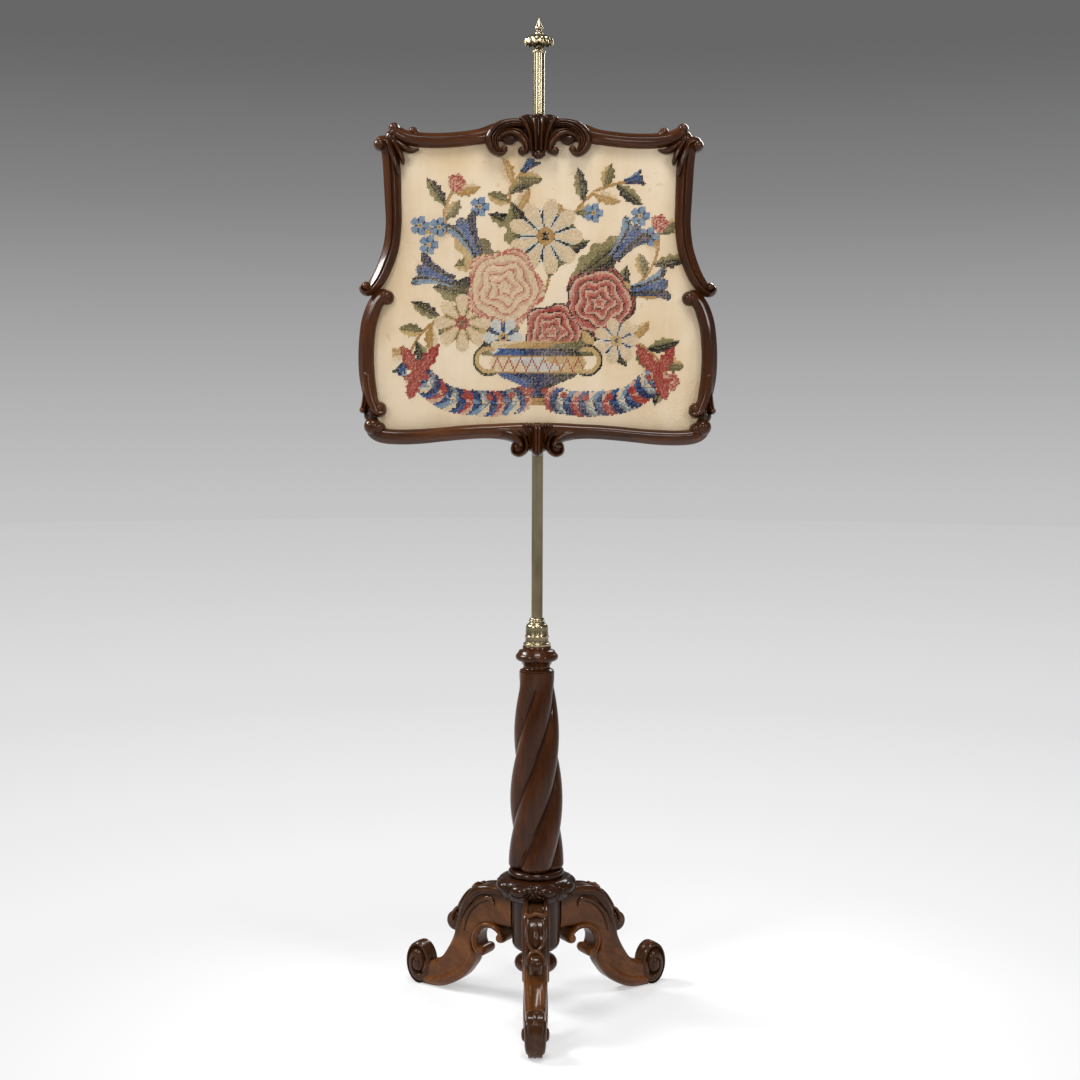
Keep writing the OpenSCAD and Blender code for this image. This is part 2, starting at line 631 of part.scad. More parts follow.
module column() {
    foot_rings = [for (q = [[0, 9], [0.008, 5], [0.02, 1.6]]) shaft_ring(q[0], q[1])];
    cove_r = neck_ring_r - 11.4;
    shoulder_r = neck_ring_r - 5.4;
    top_r = ferrule_r + 0.6;
    sunk = 6;
    core_r = shaft_top_r - 6;
    color(rosewood) translate([0, 0, column_seat]) difference() {
        union() {
            loft(concat(foot_rings, [for (i = [1:shaft_rings]) shaft_ring(i / shaft_rings, 0)]));
            translate([0, 0, shaft_h]) rotate_extrude() polygon(concat(
                [[0, -sunk], [core_r, -sunk], [core_r, 0], [shaft_top_r - 1, 1.5]],
                backwards(arc([cove_r + 4, 7], 4, 130, 230, 5)),
                arc([neck_ring_r - 5.5, 21], 5.5, -70, 60, 8),
                [[shoulder_r + 0.4, neck_h - 7], [shoulder_r, neck_h - 6], [top_r, neck_h - 5.4],
                 [top_r, neck_h], [0, neck_h]]));
            translate([0, 0, -tenon_h]) cylinder(r = tenon_r, h = tenon_h + 10);
        }
        translate([0, 0, shaft_h + neck_h - pole_let_in - clear])
            cylinder(r = pole_r + fit, h = pole_let_in + clear + 1);
    }
}

// Hub: barrel, carved rim and seat, with sockets for the column, the drop finial and the legs

rim_z = hub_h - 25;
rim_round = 14;
barrel_round = 13;
hub_seam = -6;   // keeps the seam of the revolve clear of ovals and legs
drop_tenon_r = 8;
drop_tenon_h = 22;
function hub_profile(grow) = concat(
    [[0, -grow]], arc([hub_r - barrel_round, barrel_round], barrel_round + grow, -90, 0, 6),
    [[hub_r + grow, rim_z - 17], [hub_r + 2 + grow, rim_z - 16 - grow]],
    arc([hub_rim_r - rim_round, rim_z - 2], rim_round + grow, -75, 0, 6),
    arc([hub_rim_r - rim_round, rim_z + 1], rim_round + grow, 0, 70, 7),
    [[hub_rim_r - 16, rim_z + 15 + grow], [hub_rim_r - 18 + grow, hub_h - 9]],
    arc([hub_rim_r - 19, hub_h - 5], 4 + grow, -60, 80, 6), [[hub_rim_r - 22, hub_h], [0, hub_h]]);

// A leg's dovetail: narrow at the barrel's face and wider inside, drawn for a leg along +X
dovetail_low = 12;
dovetail_high = 74;
module dovetail(gap, low) {
    flare = 3;
    past = 4;
    inner = [hub_r - dovetail_d - gap, dovetail_w / 2 + flare + gap];
    outer = [hub_r + past, dovetail_w / 2 + gap - flare * past / dovetail_d];
    translate([0, 0, hub_bottom + low]) linear_extrude(dovetail_high - low + gap)
        polygon([[inner[0], -inner[1]], [outer[0], -outer[1]], outer, inner]);
}

oval_l = 14;
oval_r = 6.5;
oval_sunk = 5.8;
oval_z = rim_z + 6.7;
oval_turn = -5;   // the ring of ovals stands a little askew to the legs
module hub() {
    color(rosewood) difference() {
        union() {
            translate([0, 0, hub_bottom]) rotate(hub_seam) rotate_extrude() polygon(hub_profile(0));
            for (i = [0:oval_count - 1]) rotate((i + 0.5) * 360 / oval_count + oval_turn - 90)
                translate([hub_rim_r - oval_sunk, 0, hub_bottom + oval_z]) rotate([90, 0, 0])
                    egg(oval_r, oval_l);
        }
        translate([0, 0, column_seat - tenon_h - clear]) cylinder(r = tenon_r + fit, h = tenon_h + clear + 1);
        translate([0, 0, hub_bottom - 1]) cylinder(r = drop_tenon_r + fit, h = drop_tenon_h + clear + 1);
        for (turn = leg_turns) rotate(turn) dovetail(fit, -1);
    }
}

module drop_finial() {
    bulb_round = 11;
    bulb_z = 20;
    tip_r = 9;
    color(rosewood) translate([0, 0, hub_bottom]) union() {
        rotate_extrude() polygon(concat([[0, 0], [16, 0], [17, -2], [15, -6]],
            arc([drop_r - bulb_round, -bulb_z], bulb_round, 75, -75, 10),
            [[13, -bulb_z - 13], [tip_r, -bulb_z - 16]], arc([0, -bulb_z - 20], tip_r, 15, -90, 6)));
        cylinder(r = drop_tenon_r, h = drop_tenon_h);
    }
}

// Leg, drawn along +X

ankle_x = foot_reach - toe_r;
scroll_x = hub_r + 37;
scroll_z = hub_bottom + 2;
under_knee = scroll_z + bracket_scroll_r;
instep_h = 1.16 * toe_r;
// Stations of [upper x, upper z, lower x, lower z, thickness]
leg_stations = [[hub_r - 3, knee_h - 6, hub_r - 3, under_knee + 2, leg_w],
                [hub_r + 26, knee_h - 3, hub_r + 26, under_knee + 1, leg_w],
                [hub_r + 46, knee_h - 1, hub_r + 46, under_knee - 2, leg_w],
                [ankle_x - 82, knee_h - 13, ankle_x - 93, knee_h - 72, leg_w],
                [ankle_x - 67, knee_h - 32, ankle_x - 87, knee_h - 92, (leg_w + shin_w) / 2],
                [ankle_x - 60, knee_h - 58, ankle_x - 91, knee_h - 112, shin_w],
                [ankle_x - 54, instep_h + 48, ankle_x - 86, 43, shin_w],
                [ankle_x - 42, instep_h + 25, ankle_x - 69, 23, shin_w - 2],
                [ankle_x - 30, instep_h + 10, ankle_x - 48, 9, (shin_w + toe_core_w) / 2],
                [ankle_x - 14, instep_h + 2, ankle_x - 25, 1, toe_core_w + 2],
                [ankle_x + 2, instep_h, ankle_x + 2, -0.5, toe_core_w]];
// A rounded plank, as shares from the lower edge to the upper edge and of the half thickness
leg_section = [for (k = [0:15]) let (a = 22.5 * k + 11.25)
    [0.5 + 0.5 * sign(sin(a)) * pow(abs(sin(a)), 0.55), sign(cos(a)) * pow(abs(cos(a)), 0.5)]];

// A roll across the leg: a profile of [distance along its axis, radius] turned, and stretched along the leg
module roll(at, profile, stretch = 1) {
    end = profile[len(profile) - 1][0];
    near = [for (p = profile) [p[1], p[0]]];
    far = [for (p = backwards(profile)) [p[1], -p[0]]];
    translate([at[0], 0, at[1]]) scale([stretch, 1, 1]) rotate([90, 0, 0]) rotate_extrude()
        polygon(concat([[0, -end]], far, near, [[0, end]]));
}

module leg() {
    scroll_t = 7;
    scroll_span = [-50, 158];
    curl_r = 7;
    curl_w = leg_w / 2 - 2;
    knee_roll_r = 15;
    color(rosewood) difference() {
        union() {
            loft([for (s = smooth(leg_stations, 3)) [for (q = leg_section)
                [s[2] + (s[0] - s[2]) * q[0], q[1] * s[4] / 2, s[3] + (s[1] - s[3]) * q[0]]]]);
            roll([toe_x, toe_r - 0.5], toe_profile, toe_half / toe_r);
            // Rolled leaf on the front of the knee, with an oval cabochon over it
            roll([ankle_x - 53, knee_h - 65],
                 [[6.5, knee_roll_r], [9.5, knee_roll_r - 2], [11, knee_roll_r - 6]]);
            translate([ankle_x - 72, 0, knee_h - 28]) rotate([0, -32, 0]) egg(8, 17);
            // C-scroll under the knee, with a curl at each end
            translate([scroll_x, 0, scroll_z]) rotate([90, 0, 0]) rotate(scroll_span[0])
                rotate_extrude(angle = scroll_span[1] - scroll_span[0])
                    translate([bracket_scroll_r - scroll_t / 2, -curl_w]) square([scroll_t, 2 * curl_w]);
            for (a = scroll_span)
                roll([scroll_x, scroll_z] + on_circle(bracket_scroll_r, a),
                     [[curl_w, curl_r], [curl_w + 1, curl_r - 1]]);
            dovetail(0, dovetail_low);
        }
        // Room for the hub, but not for the dovetail inside it
        difference() {
            translate([0, 0, hub_bottom]) rotate_extrude() polygon(hub_profile(fit));
            dovetail(0, dovetail_low);
        }
        // Flat sole
        translate([0, -foot_reach, -foot_reach]) cube([2 * foot_reach, 2 * foot_reach, foot_reach]);
    }
}

// The pole's axis stands behind the origin, which is under the middle of the footprint
module set_back() {
    translate([0, pole_setback, 0]) children();
}

set_back() hub();
set_back() rotate(leg_turns[0]) leg();  // leg_front
set_back() rotate(leg_turns[1]) leg();  // leg_left
set_back() rotate(leg_turns[2]) leg();  // leg_right
set_back() drop_finial();
set_back() column();
set_back() ferrule();
set_back() pole();
set_back() pole_cap();
set_back() finial();
set_back() clamp_collar();
set_back() thumbscrew();
set_back() top_rail();
set_back() bottom_rail();
set_back() stile();  // left_stile
set_back() mirror([1, 0, 0]) stile();  // right_stile
set_back() corner_dowels();
set_back() strainer_bar(0);  // strainer_top
set_back() strainer_bar(1);  // strainer_left
set_back() strainer_bar(2);  // strainer_bottom
set_back() strainer_bar(3);  // strainer_right
set_back() needlework();
set_back() backboard();
set_back() backboard_brads();
set_back() bracket(upper_ring_z);  // upper_bracket
set_back() bracket(lower_ring_z);  // lower_bracket
set_back() bracket_screws();
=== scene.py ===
"""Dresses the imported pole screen: polished carved wood, aged brass and a needlework panel.

Lengths in this file are millimetres about the pole's axis: x to the viewer's right, y away from the viewer,
z up from the floor. A mesh is put into metres in the part's own frame when it becomes an object.
"""

from __future__ import annotations

import logging
import math
from dataclasses import dataclass, replace
from enum import Enum
from typing import Sequence

import bmesh
import bpy
import numpy as np
from mathutils import Euler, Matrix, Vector


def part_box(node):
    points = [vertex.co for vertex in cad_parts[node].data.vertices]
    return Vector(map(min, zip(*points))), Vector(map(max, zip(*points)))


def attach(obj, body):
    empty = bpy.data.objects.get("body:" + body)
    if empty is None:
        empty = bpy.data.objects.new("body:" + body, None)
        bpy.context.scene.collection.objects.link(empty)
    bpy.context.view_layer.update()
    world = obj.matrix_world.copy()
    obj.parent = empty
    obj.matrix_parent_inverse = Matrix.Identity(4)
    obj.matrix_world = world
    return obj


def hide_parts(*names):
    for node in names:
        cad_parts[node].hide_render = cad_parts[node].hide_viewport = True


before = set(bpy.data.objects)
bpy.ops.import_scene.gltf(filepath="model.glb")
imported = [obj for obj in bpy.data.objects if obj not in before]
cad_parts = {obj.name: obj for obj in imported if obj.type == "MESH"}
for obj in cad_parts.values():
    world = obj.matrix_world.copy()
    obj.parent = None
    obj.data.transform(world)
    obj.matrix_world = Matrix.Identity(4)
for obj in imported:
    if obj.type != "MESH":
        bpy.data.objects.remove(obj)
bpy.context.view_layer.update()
POLE_LOW, POLE_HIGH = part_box("pole")
POLE_Y = (POLE_LOW.y + POLE_HIGH.y) / 2
MM = 0.001
TAU = 2 * math.pi
LOG = logging.getLogger("pole_screen")
Array = np.ndarray
Rows = Sequence[Sequence[float]]
Colour = tuple[float, float, float]


class Slot(Enum):
    """The record's material slots."""

    CARVED = "carved_wood"
    BRASS = "brass"
    CANVAS = "wool_canvas"


# Curves

def spline(knots: Rows, steps: int) -> Array:
    """Catmull-Rom curve through the knots: each stretch is a cubic of its two ends and their neighbours.

    Args:
        knots: Points of any dimension, one a row.
        steps: Number of points on each stretch.

    Returns:
        The points of the curve, one a row, with the last knot at the end.
    """
    k = np.asarray(knots, float)
    a = np.vstack([k[:1], k[:-2]])[:, None]
    b = k[:-1][:, None]
    c = k[1:][:, None]
    d = np.vstack([k[2:], k[-1:]])[:, None]
    t = (np.arange(steps) / steps)[None, :, None]
    curve = 0.5 * (2 * b + (c - a) * t + (2 * a - 5 * b + 4 * c - d) * t**2 + (3 * b - a - 3 * c + d) * t**3)
    return np.vstack([curve.reshape(-1, k.shape[1]), k[-1:]])


def circle(count: int) -> Array:
    """Equal angles once round."""
    return np.arange(count) * TAU / count


def arc(x: float, y: float, radius: float, first: float, last: float, count: int = 14) -> Array:
    """Points on an arc about a middle, between two angles in degrees."""
    a = np.radians(np.linspace(first, last, count))
    return np.stack([x + radius * np.cos(a), y + radius * np.sin(a)], 1)


def left_normals(path: Array) -> Array:
    """Unit normals on the left of a plane path: its tangent turned by a quarter.

    Args:
        path: Points of the path, one a row.

    Returns:
        One normal for each point.
    """
    step = np.gradient(path, axis=0)
    step /= np.linalg.norm(step, axis=1, keepdims=True)
    return np.stack([-step[:, 1], step[:, 0]], axis=1)


def lengths(path: Array) -> Array:
    """Length along a path up to each of its points."""
    return np.concatenate([[0.0], np.cumsum(np.linalg.norm(np.diff(path, axis=0), axis=1))])


def rounding(path: Array, start: float, end: float) -> Array:
    """Factor that rounds a path's ends: a quarter circle over a given length at each end, and 1 between.

    Args:
        path: The points of the path.
        start: Length of the rounding at the start, or 0 for a blunt end.
        end: Length of the rounding at the end, or 0 for a blunt end.

    Returns:
        One factor for each point, as a column.
    """
    run = lengths(path)
    factor = np.ones(len(run))
    for reach, far in ((start, run), (end, run[-1] - run)):
        if reach > 0:
            factor *= np.sqrt(np.clip(1 - np.clip(1 - far / reach, 0, 1) ** 2, 1e-4, 1))
    return factor[:, None]


def bump(x: Array, middle: float, half: float) -> Array:
    """Smooth hump: a squared cosine that is 1 in the middle and 0 beyond the half width."""
    return np.cos(np.clip(np.abs(x - middle) / half, 0, 1) * np.pi / 2) ** 2


def ramp(x: Array, low: float, high: float) -> Array:
    """Smooth step from 0 at one value to 1 at another."""
    t = np.clip((x - low) / (high - low), 0, 1)
    return t * t * (3 - 2 * t)


def power(x: Array, exponent: float) -> Array:
    """A power of the size of a number, with the number's own sign."""
    return np.sign(x) * np.abs(x) ** exponent


# Surfaces

@dataclass
class Shell:
    """One closed surface.

    Attributes:
        points: Corners in millimetres, one a row.
        quads: Four-sided faces.
        tris: Three-sided faces.
        stain_and_shade: How dark its wood is, from 0 to 1, for all corners or each: a stain, and on one
            filler a painted shadow.
    """

    points: Array
    quads: Array
    tris: Array
    stain_and_shade: Array | float = 0.0

    @classmethod
    def grid(cls, p: Array, ring: bool = True, caps: bool = True, stain_and_shade: Array | float = 0.0) -> Shell:
        """Surface over a grid of points, with its columns closed to rings and its end rows closed by fans.

        Args:
            p: Points as rows, columns and three coordinates.
            ring: Whether the last column meets the first.
            caps: Whether the end rows are closed.
            stain_and_shade: How dark the wood is: mostly a stain, on one filler a painted shadow.

        Returns:
            The surface.
        """
        rows, cols = p.shape[:2]
        index = np.arange(rows * cols).reshape(rows, cols)
        right = np.roll(index, -1, axis=1)
        span = cols if ring else cols - 1
        quads = np.stack([index[:-1], right[:-1], right[1:], index[1:]], axis=-1)[:, :span].reshape(-1, 4)
        tris = np.zeros((0, 3), int)
        if caps:
            k = np.arange(1, cols - 1)
            low = np.stack([np.zeros_like(k), k + 1, k], axis=1)
            high = np.stack([np.zeros_like(k), k, k + 1], axis=1) + (rows - 1) * cols
            tris = np.vstack([low, high])
        return cls(p.reshape(-1, 3), quads, tris, stain_and_shade)

    def mirrored(self, axis: int = 0) -> Shell:
        """The shell seen in a mirror across the plane of x = 0, or of y = 0."""
        flip = np.where(np.arange(3) == axis, -1, 1)
        return replace(self, points=self.points * flip, quads=self.quads[:, ::-1], tris=self.tris[:, ::-1])

    def turned(self, degrees: float) -> Shell:
        """The shell turned about the pole's axis."""
        c, s = math.cos(math.radians(degrees)), math.sin(math.radians(degrees))
        return replace(self, points=self.points @ np.array([[c, s, 0], [-s, c, 0], [0, 0, 1]]))


def lathe(profile: Rows, sides: int = 96, wave: Array | float = 0.0, caps: bool = True) -> Shell:
    """Turned shape: a profile of radius and height carried round the pole's axis.

    Args:
        profile: Rows of radius and height, from one end of the axis to the other.
        sides: Number of points round the axis.
        wave: Amounts to add to the radius, by profile row and by side.
        caps: Whether its ends are closed.

    Returns:
        The turned shell.
    """
    p = np.asarray(profile, float)
    angle = circle(sides)
    radius = np.clip(p[:, :1], 1e-3, None) + wave + 0 * angle
    return Shell.grid(np.stack([radius * np.cos(angle), radius * np.sin(angle), p[:, 1:2] + 0 * radius], -1),
                      caps=caps)


def across_roll(at: Sequence[float], profile: Rows, sides: int = 64, stretch: float = 1.0) -> Shell:
    """Roll that lies across a leg: a profile turned about a line along y.

    Args:
        at: Place of that line in x and z.
        profile: Rows of distance along y and radius.
        sides: Number of points round the line.
        stretch: Its length in x as a share of its height.

    Returns:
        The closed shell.
    """
    p = np.asarray(profile, float)
    angle = circle(sides)
    x = at[0] + stretch * p[:, 1:2] * np.cos(angle)
    z = at[1] + p[:, 1:2] * np.sin(angle)
    return Shell.grid(np.stack([x, p[:, :1] + 0 * x, z], axis=-1))


def tube(path: Array, radius: Array | float) -> Shell:
    """Round bar with rounded ends along a path in space: a circle in the plane of two normals of the path.

    Args:
        path: Points of the path, one a row.
        radius: Radius of the bar, for all points or each.

    Returns:
        The closed shell.
    """
    step = np.gradient(path, axis=0)
    step /= np.linalg.norm(step, axis=1, keepdims=True)
    one = np.cross(step, [0.48, 0.31, 0.82])
    one /= np.linalg.norm(one, axis=1, keepdims=True)
    two = np.cross(step, one)
    size = radius * rounding(path, np.max(radius), np.max(radius))
    angle = circle(14)[None, :, None]
    return Shell.grid(path[:, None]
                      + size[:, :, None] * (one[:, None] * np.cos(angle) + two[:, None] * np.sin(angle)))


def reeds(*shares: float, groove: float = 0.3) -> Array:
    """Section of crowned reeds: each is half an ellipse, and together they lie on a flatter one.

    Args:
        shares: Widths of the reeds, from the left side of the path.
        groove: Depth of the grooves between them as a share of the height.

    Returns:
        Points of share across and share of the height.
    """
    edges = 0.5 - np.concatenate([[0], np.cumsum(shares)]) / np.sum(shares)
    turn = np.radians(np.linspace(10, 170, 11))
    parts = [np.stack([(a + b) / 2 + (a - b) / 2 * np.cos(turn), np.sin(turn)], 1)
             for a, b in zip(edges, edges[1:])]
    section = np.vstack(parts)
    crown = np.sqrt(np.clip(1 - (1.9 * section[:, 0]) ** 2, 0.04, 1))
    return np.stack([section[:, 0], (1 - groove) * crown + groove * section[:, 1]], 1)


ONE_REED = reeds(1)
# Sections of the mouldings: a broad outer slope, a crown or a groove with a bead, and the inner lip
PLAIN_ROLL = spline([[0.5, 0.5], [0.46, 0.6], [0.2, 0.9], [0.15, 0.94], [0.1, 0.955], [-0.1, 1.0],
                     [-0.3, 0.94], [-0.44, 0.79], [-0.5, 0.62]], 4)
BEADED_ROLL = spline([[0.5, 0.5], [0.46, 0.6], [0.12, 0.9], [0.06, 0.91], [0.02, 0.87], [-0.03, 0.91],
                      [-0.09, 0.98], [-0.15, 0.98], [-0.22, 0.93], [-0.38, 0.81], [-0.5, 0.62]], 4)


@dataclass(frozen=True)
class Face:
    """Plane along x and z that carving stands on.

    Attributes:
        y: Place of the plane.
        way: Direction along y in which the carving stands out, 1 or -1.
    """

    y: float
    way: int

    def points(self, x: Array, out: Array, z: Array) -> Array:
        """Points at x and z that stand out of the plane."""
        return np.stack(np.broadcast_arrays(x, self.y + self.way * out, z), -1)

    def carry(self, path: Array, across: Array, out: Array) -> Shell:
        """A section carried along a path: each point is the path's plus its left normal times across."""
        side = left_normals(path)
        return Shell.grid(self.points(path[:, :1] + side[:, :1] * across, out,
                                      path[:, 1:] + side[:, 1:] * across))

    def band(self, knots: Rows, section: Array, base: float, start: float = 5.0, end: float = 5.0) -> Shell:
        """A carved band: a section whose width and height change along a path.

        Args:
            knots: Rows of x, z, width, and height of its top over the plane.
            section: Points of share across and share of the height.
            base: Height of its underside over the plane.
            start: Length of the rounding at the start.
            end: Length of the rounding at the end.

        Returns:
            The closed shell.
        """
        s = spline(knots, 14)
        soft = rounding(s[:, :2], start, end)
        height = np.maximum(s[:, 3:4] - base, 1.2) * (0.35 + 0.65 * soft)
        across = np.concatenate([[0.5], section[:, 0], [-0.5]]) * s[:, 2:3] * soft
        out = base + np.concatenate([[0.0], section[:, 1], [0.0]]) * height
        return self.carry(s[:, :2], across, out)

    def knob(self, x: float, z: float, radius: float, top: float, base: float = 0.0,
             squash: float = 1.0) -> Shell:
        """Rounded knob: half a superellipsoid on a short foot.

        Args:
            x: Place of its middle across.
            z: Place of its middle up.
            radius: Its radius.
            top: Height of its top over the plane.
            base: Height of its underside over the plane.
            squash: Its height in the plane as a share of its width.

        Returns:
            The closed shell.
        """
        lift = np.radians(np.linspace(0, 90, 14))[:, None]
        turn = circle(40)
        r = np.vstack([[[1.0]], np.cos(lift) ** 0.8]) * radius
        out = np.vstack([[[base]], base + (top - base) * (0.42 + 0.58 * np.sin(lift))])
        return Shell.grid(self.points(x + r * np.cos(turn), out, z + squash * r * np.sin(turn)))

    def volute(self, at: Sequence[float], radius: float, heights: Sequence[float], turns: float,
               start: float, groove: float, stretch: float = 1.0, core: float = 0.27) -> Shell:
        """Spiral scroll end: a disc that rises from its rim to its eye, cut by a groove along a spiral.

        The spiral's radius shrinks in equal parts with the angle. The eye is half a ball.

        Args:
            at: Middle of the disc in x and z.
            radius: Radius of its rim.
            heights: Heights over the plane of its underside, rim and eye.
            turns: Turns of the spiral, anticlockwise towards the eye, or clockwise where less than 0.
            start: Angle in degrees at which the spiral leaves the rim.
            groove: Depth of the groove.
            stretch: Its length in x as a share of its height.
            core: Radius of the eye as a share of the rim's.

        Returns:
            The closed shell.
        """
        base, rim, eye = heights
        share = np.concatenate([[1.0], np.linspace(1, 0.004, 80)])[:, None]
        angle = circle(120)
        phase = (1 - share) / (1 - core) * abs(turns) - np.sign(turns) * (angle - math.radians(start)) / TAU
        off = np.abs(phase - np.round(phase)) / abs(turns)
        cut = np.exp(-((off / 0.13) ** 2)) * ramp(share, core, core + 0.08) * (1 - ramp(share, 0.95, 1.0))
        boss = np.sqrt(np.clip(1 - (share / core) ** 2, 0, 1))
        out = rim + (eye - rim) * (0.6 * ramp(1 - share, 0.0, 0.8) + 0.4 * boss) - groove * cut
        out -= 0.3 * (rim - base) * ramp(share, 0.9, 1.0)
        out[0] = base
        return Shell.grid(self.points(at[0] + stretch * radius * share * np.cos(angle), out,
                                      at[1] + radius * share * np.sin(angle)))

    def fan(self, low: float, high: float, arrises: Sequence[float], widths: Rows, heights: Rows,
            base: float, hollow: float) -> Shell:
        """Shell of hollow flutes: a sheet over its height and its width, closed by a flat back.

        Across the sheet each flute is a parabola between two arrises, deeper where it is wide, and ends in
        an arc.

        Args:
            low: Height of the foot.
            high: Height of the arrises' upper ends.
            arrises: Places of the arrises as shares of the half width.
            widths: Half widths by share of the height.
            heights: Heights of the arrises over the plane by share of the height.
            base: Height of its back over the plane.
            hollow: Depth of a flute as wide as the half width.

        Returns:
            The closed shell.
        """
        v = np.linspace(0, 1, 60)[:, None]
        edge = np.asarray(arrises)
        along = np.linspace(0, len(edge) - 1, (len(edge) - 1) * 14 + 1)
        u = np.interp(along, np.arange(len(edge)), edge)
        flute = np.minimum(along.astype(int), len(edge) - 2)
        inside = 1 - (2 * (along - flute) - 1) ** 2
        deep = hollow * inside * np.diff(edge)[flute] ** 0.7
        swell = ramp(v, 0.0, 0.25) * (1 - 0.75 * ramp(v, 0.84, 1.0))
        x = u * np.interp(v, *np.transpose(widths))
        z = low + (high - low) * v + ramp(v, 0.6, 1.0) * inside * 2.6 - ramp(v, 0.5, 1.0) * u**2 * 4.0
        top = np.interp(v, *np.transpose(heights))
        out = np.maximum(top - deep * swell - 3.0 * u**2, base + 1.0)
        front = self.points(x, out, z)
        rear = self.points(x, base + 0 * out, z)[:, ::-1]
        return Shell.grid(np.concatenate([front, rear], axis=1))


# Objects

